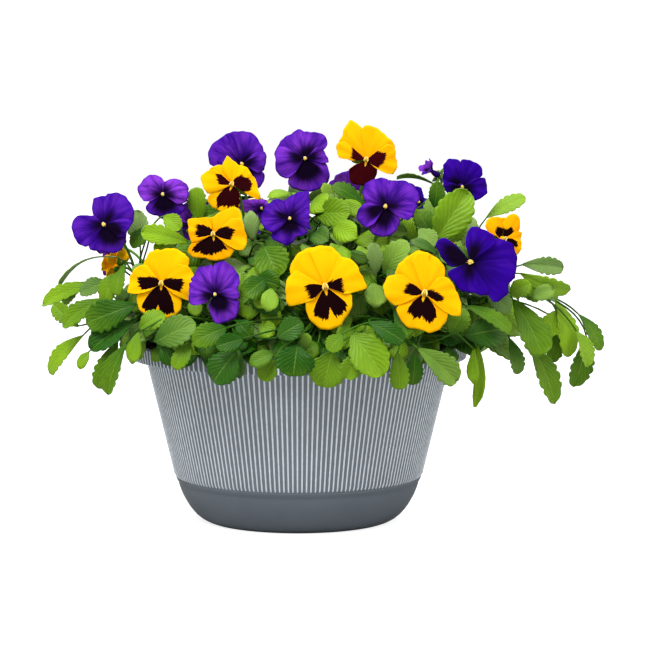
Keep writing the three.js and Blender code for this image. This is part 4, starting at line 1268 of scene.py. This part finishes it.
        ((165, .5, 175, .68, 185, .8, 197, .91, 215, .92, 228, .87, 238, .6),
         (175, .4, 190, .6, 200, .65, 215, .62, 230, .5)),
        ((-40, .5, -32, .78, -20, .86, -9, .9, 5, .95, 15, .7), (-20, .3, 0, .42, 15, .4)),
    ),
    14: (
        ((85, .8, 95, 1, 114, 1.11, 131, 1.06, 143, .85, 165, .7, 186, .68, 200, .5),
         (110, .3, 140, .5, 180, .5)),
        ((20, .7, 26, .93, 45, 1.06, 61, 1.05, 89, .99, 100, .7), ()),
        ((200, .5, 230, .7, 270, .7, 300, .6, 320, .5), (200, .5, 260, .6, 320, .4)),
        ((160, .5, 175, .66, 190, .68, 205, .6), (165, .5, 205, .5)),
        ((-60, .6, -45, .75, -31, .88, -15, 1.02, 4, .99, 20, .94, 30, .6), (-40, .5, 0, .4, 20, .35)),
    ),
    15: (
        ((-15, .8, -6, 1.14, 7, 1.15, 24, 1.07, 39, .88, 50, .7), ()),
        ((-62, .8, -60, 1.05, -53, 1.12, -38, 1.16, -29, 1.05, -21, 1.08, -6, 1.1, 5, .9), ()),
        ((125, .35, 129, .52, 135, .8, 145, .92, 153, .9, 164, .74, 181, .55, 195, .45),
         (125, .3, 133, .6, 145, .78, 155, .78, 165, .68, 180, .55, 195, .4)),
        ((35, .75, 50, .83, 60, .82, 74, .84, 87, .82, 98, .6, 105, .4),
         (45, .3, 60, .5, 75, .5, 88, .4, 100, .2)),
        ((200, .5, 207, .6, 231, .61, 252, .69, 277, .72, 295, .85, 303, .8),
         (235, .3, 250, .38, 270, .4, 285, .3)),
    ),
    16: (
        ((85, .9, 99, 1.1, 112, 1.1, 124, 1.13, 137, 1.05, 147, 1.08, 155, .8), (90, .3, 140, .25)),
        ((8, .7, 15, .87, 36, 1.07, 59, 1.21, 77, 1.23, 92, 1.1, 102, .8), (40, .2, 70, .3, 95, .3)),
        ((238, .4, 245, .53, 261, .8, 271, 1.06, 291, 1.08, 311, 1.11, 331, 1, 345, .9, 352, .7),
         (235, .4, 245, .5, 265, .6, 285, .7, 310, .75, 330, .65, 345, .45)),
        ((145, .8, 155, 1, 178, .94, 190, .95, 200, .97, 209, .84, 218, .55, 225, .4),
         (165, .4, 185, .5, 205, .45, 225, .4)),
        ((-15, .7, -8, .9, 5, .86, 15, .86, 25, .5), (-15, .4, 10, .35)),
    ),
    17: (
        ((80, .4, 110, .42, 140, .55, 160, .7), ()),
        ((20, .4, 50, .45, 75, .42, 100, .38), ()),
        ((205, .35, 270, .38, 330, .35), ()),
        ((140, .6, 155, .85, 170, .95, 184, .85, 198, .55, 208, .35), ()),
        ((-32, .35, -10, .4, 20, .4, 50, .4), ()),
    ),
    18: (
        ((80, .5, 110, .85, 140, .9, 165, .7), ()),
        ((30, .3, 50, .42, 75, .6, 100, .65), ()),
        ((205, .5, 240, .35, 270, .3, 330, .28), (205, .3, 270, .2, 330, .2)),
        ((130, .6, 160, .85, 190, .7, 212, .4), (140, .2, 180, .4, 210, .2)),
        ((-32, .24, -10, .28, 20, .3, 50, .3), ()),
    ),
    23: (
        ((70, .3, 85, .34, 110, .38, 135, .44, 155, .55, 168, .6), ()),
        ((12, .6, 25, .55, 45, .44, 70, .36, 95, .34, 110, .3), ()),
        ((198, .6, 215, .75, 270, .9, 325, .75, 342, .6), (226, .2, 245, .6, 295, .6, 314, .2)),
        ((125, .45, 140, .55, 158, .75, 180, .85, 205, .7, 212, .45), (130, .15, 180, .45, 214, .2)),
        ((-32, .45, -25, .7, 0, .85, 22, .75, 40, .55, 55, .45), (-34, .2, 0, .45, 50, .15)),
    ),
}

# How orange a yellow bloom is, or how pale a purple one is, from 0 to 1, by its place in the list of blooms,
# counted from 0. The other blooms vary by turns.
TINTS = {0: 0, 1: 0, 2: .5, 3: .9, 4: .1, 5: .6, 6: .9, 7: 0, 8: .15, 9: .9, 10: .3, 11: .45, 12: .2,
         13: .35, 14: 0, 15: 0, 16: .55, 17: .9, 18: 0, 19: 1}
# Blooms whose blotches are maroon more than black.
MAROON = {4: .6, 5: 1}
# How far before the face the five petals stand, in the order of their rows.
LIFTS = (-2.6, -1.5, 0.0, 1.8, 1.8)
LOWER_PETAL = 2
# The bloom that is still half open.
HALF_OPEN = 19
# The value of blotch and patch where a petal has none.
BARE = -1.0


def paired(row):
    return list(zip(row[::2], row[1::2]))


def read(table, x, outside, smooth=False):
    """A value read between the pairs of a table."""
    if not table or x < table[0][0] or x > table[-1][0]:
        return outside
    for (x0, y0), (x1, y1) in zip(table, table[1:]):
        if x <= x1:
            k = (x - x0) / (x1 - x0)
            return y0 + (y1 - y0) * (k * k * (3 - 2 * k) if smooth else k)


def petal(bm, bloom, number, outline, dark):
    """A petal as a sheet that carries its colours."""
    reach, index = bloom["reach"], bloom["index"]
    yellow = bloom["colour"] == "yellow"
    roll = bloom["roll"] if index in FACES else 0
    seed = (index * 5 + number) * 0.618 % 1
    first, last = outline[0][0], outline[-1][0]
    tint = TINTS.get(index, index * 0.37 % 1)
    if number == LOWER_PETAL and tint > 0.6 and not yellow:
        tint *= 0.25

    def where(u, v):
        """The angle on the face, and the distance from the eye as a share of the reach."""
        degrees = last + (first - last) * (u + 1) / 2
        rim = read(outline, degrees, outline[0][1])
        rim *= 1 + 0.012 * math.sin(0.16 * degrees + seed * 30) + 0.008 * math.sin(0.4 * degrees + seed * 70)
        return degrees, (0.04 + 0.96 * v) * rim

    def place(u, v):
        degrees, share = where(u, v)
        phi = math.radians(degrees - roll)
        ruffle = 0.9 * v ** 3 * math.sin(6 * phi + seed * 25) + 0.4 * v ** 2 * math.sin(15 * phi + seed * 9)
        cup = 0.35 * math.sin(math.pi * v) * (1 - u * u)
        x, y = share * reach * math.cos(phi), share * reach * math.sin(phi)
        lift = LIFTS[number] + ruffle + cup
        rho = math.hypot(x, y) / reach
        if index == HALF_OPEN:
            x, y, lift = 0.5 * x, 0.5 * y, 0.6 * lift + 0.7 * reach * rho
        wave = 0.9 * rho ** 4 * math.sin(7 * math.atan2(y, x) + index * 1.7)
        return on_face(bloom, x, y, lift - 1.6 * min(rho, 1.1) ** 2 + wave)

    def blotch(u, v):
        degrees, share = where(u, v)
        return max(read(dark, degrees, 0, smooth=True), -0.2 if yellow else 0.2) - share

    def patch(u, v):
        if number != LOWER_PETAL:
            return BARE
        degrees, share = where(u, v)
        return (0.25 if yellow else 0.12) - share - 0.006 * abs(degrees - 270 - roll)

    behind = {"blotch": BARE, "patch": BARE, "tone": 0.1 if yellow else 0.8}
    sheet(bm, 30, 14, place, PETAL_THICKNESS, behind, tone=tint, seed=seed, stain=MAROON.get(index, 0.1),
          blotch=blotch, patch=patch)


def build_bloom(bloom):
    """Five petals on a hub, and the eye before them."""
    bm = new_bmesh("tone", "blotch", "patch", "stain", "seed")
    colour, number = bloom["colour"], bloom["index"] + 1
    for order, rows in enumerate(FACES.get(bloom["index"], PLAIN_FACE)):
        petal(bm, bloom, order, *map(paired, rows))
    hub = [on_face(bloom, 0, 0, z) for z in (-HUB_BACK, -5, -2.4, 1.2)]
    pipe(bm, hub, [2.3, 2.9, 2.7, 1.6], 10, tone=0.3, blotch=BARE, patch=BARE)
    name = "%s_pansy_%02d" % (colour, number)
    finish_piece(bm, name, PETALS[colour], "petal_" + colour, "%s_bloom_%02d" % (colour, number))
    build_eye(bloom, name + "_eye")


def build_eye(bloom, name):
    """A knob in the throat, between two pale tufts that close round it on a yellow bloom."""
    bm = new_bmesh("tone")
    yellow = bloom["colour"] == "yellow"
    scale = bloom["reach"] / 35 * (1 if yellow else 0.72)
    knob = axes_at(on_face(bloom, 0, -0.4 * scale, 2.9), bloom["n"], bloom["right"])
    bmesh.ops.create_uvsphere(bm, u_segments=12, v_segments=8, radius=(1.5 if yellow else 2.3) * scale * MM,
                              matrix=knob @ Matrix.Diagonal((0.9, 1.2, 0.6, 1)))
    mark(bm, bm.verts, tone=0.0 if yellow else 0.6)
    for side in (-1, 1):
        tuft = [on_face(bloom, side * x * scale, y * scale, z)
                for x, y, z in ((0.3, 3.2, 3.0), (1.4, 1.6, 3.2), (2.1, -0.9, 3.2), (1.7, -3.0, 2.8))]
        pipe(bm, tuft, [k * scale for k in (0.35, 0.75, 0.8, 0.35)], 8, tone=1.0)
    finish_piece(bm, name, PANSY_EYE, "petal_yellow")


# Stage


def add_light(name, place, aim, power, wide):
    data = bpy.data.lights.new(name, "AREA")
    data.energy = power
    data.size = wide
    light = bpy.data.objects.new(name, data)
    light.location = place
    light.rotation_euler = (Vector(aim) - Vector(place)).to_track_quat("-Z", "Y").to_euler()
    bpy.context.scene.collection.objects.link(light)


def build_floor():
    """A pale floor that comes out white in the picture."""
    bm = bmesh.new()
    bmesh.ops.create_grid(bm, x_segments=1, y_segments=1, size=6)
    mesh = bpy.data.meshes.new("floor")
    bm.to_mesh(mesh)
    bm.free()
    made, tree = material("pale_floor")
    glow = seen_straight(tree) * 0.82
    dress(tree, (0.45, 0.45, 0.45, 1), 0.9, 0.0, Emission_Color=WHITE, Emission_Strength=glow)
    mesh.materials.append(made)
    floor = bpy.data.objects.new("floor", mesh)
    bpy.context.scene.collection.objects.link(floor)


def build_backdrop():
    """White, and brighter above than below for the light it gives."""
    world = bpy.data.worlds.new("studio")
    bpy.context.scene.world = world
    world.use_nodes = True
    tree = world.node_tree
    height = coordinates(tree, "Generated").split()[2]
    strength = height.step(-0.1, 0.9, 0.6, 1.1).maths("MAXIMUM", seen_straight(tree) * 1.02)
    background = tree.nodes["Background"].inputs
    fill((background["Color"], background["Strength"]), (WHITE, strength))


def add_camera():
    """The view of the photo."""
    data = bpy.data.cameras.new("front_view")
    data.lens = LENS
    data.sensor_width = 36
    camera = bpy.data.objects.new("front_view", data)
    camera.location = metres(EYE)
    camera.rotation_euler = (math.radians(90 - LOOK_DOWN), 0, 0)
    bpy.context.scene.collection.objects.link(camera)
    bpy.context.scene.camera = camera
    bpy.context.scene.view_settings.view_transform = "Standard"


build_floor()
build_backdrop()
add_light("key", (-0.7, -1.5, 2.3), (0, 0, 0.2), 76, 1.2)
add_light("side", (2.0, -0.6, 1.2), (0, 0, 0.2), 12, 1.2)
add_light("back", (0.3, 1.8, 2.0), (0, 0, 0.25), 22, 1.4)
add_camera()
build_planter()
build_soil()
blooms, stems = lay_out()
for stem in stems:
    build_stem(stem)
for bloom in blooms:
    build_bloom(bloom)
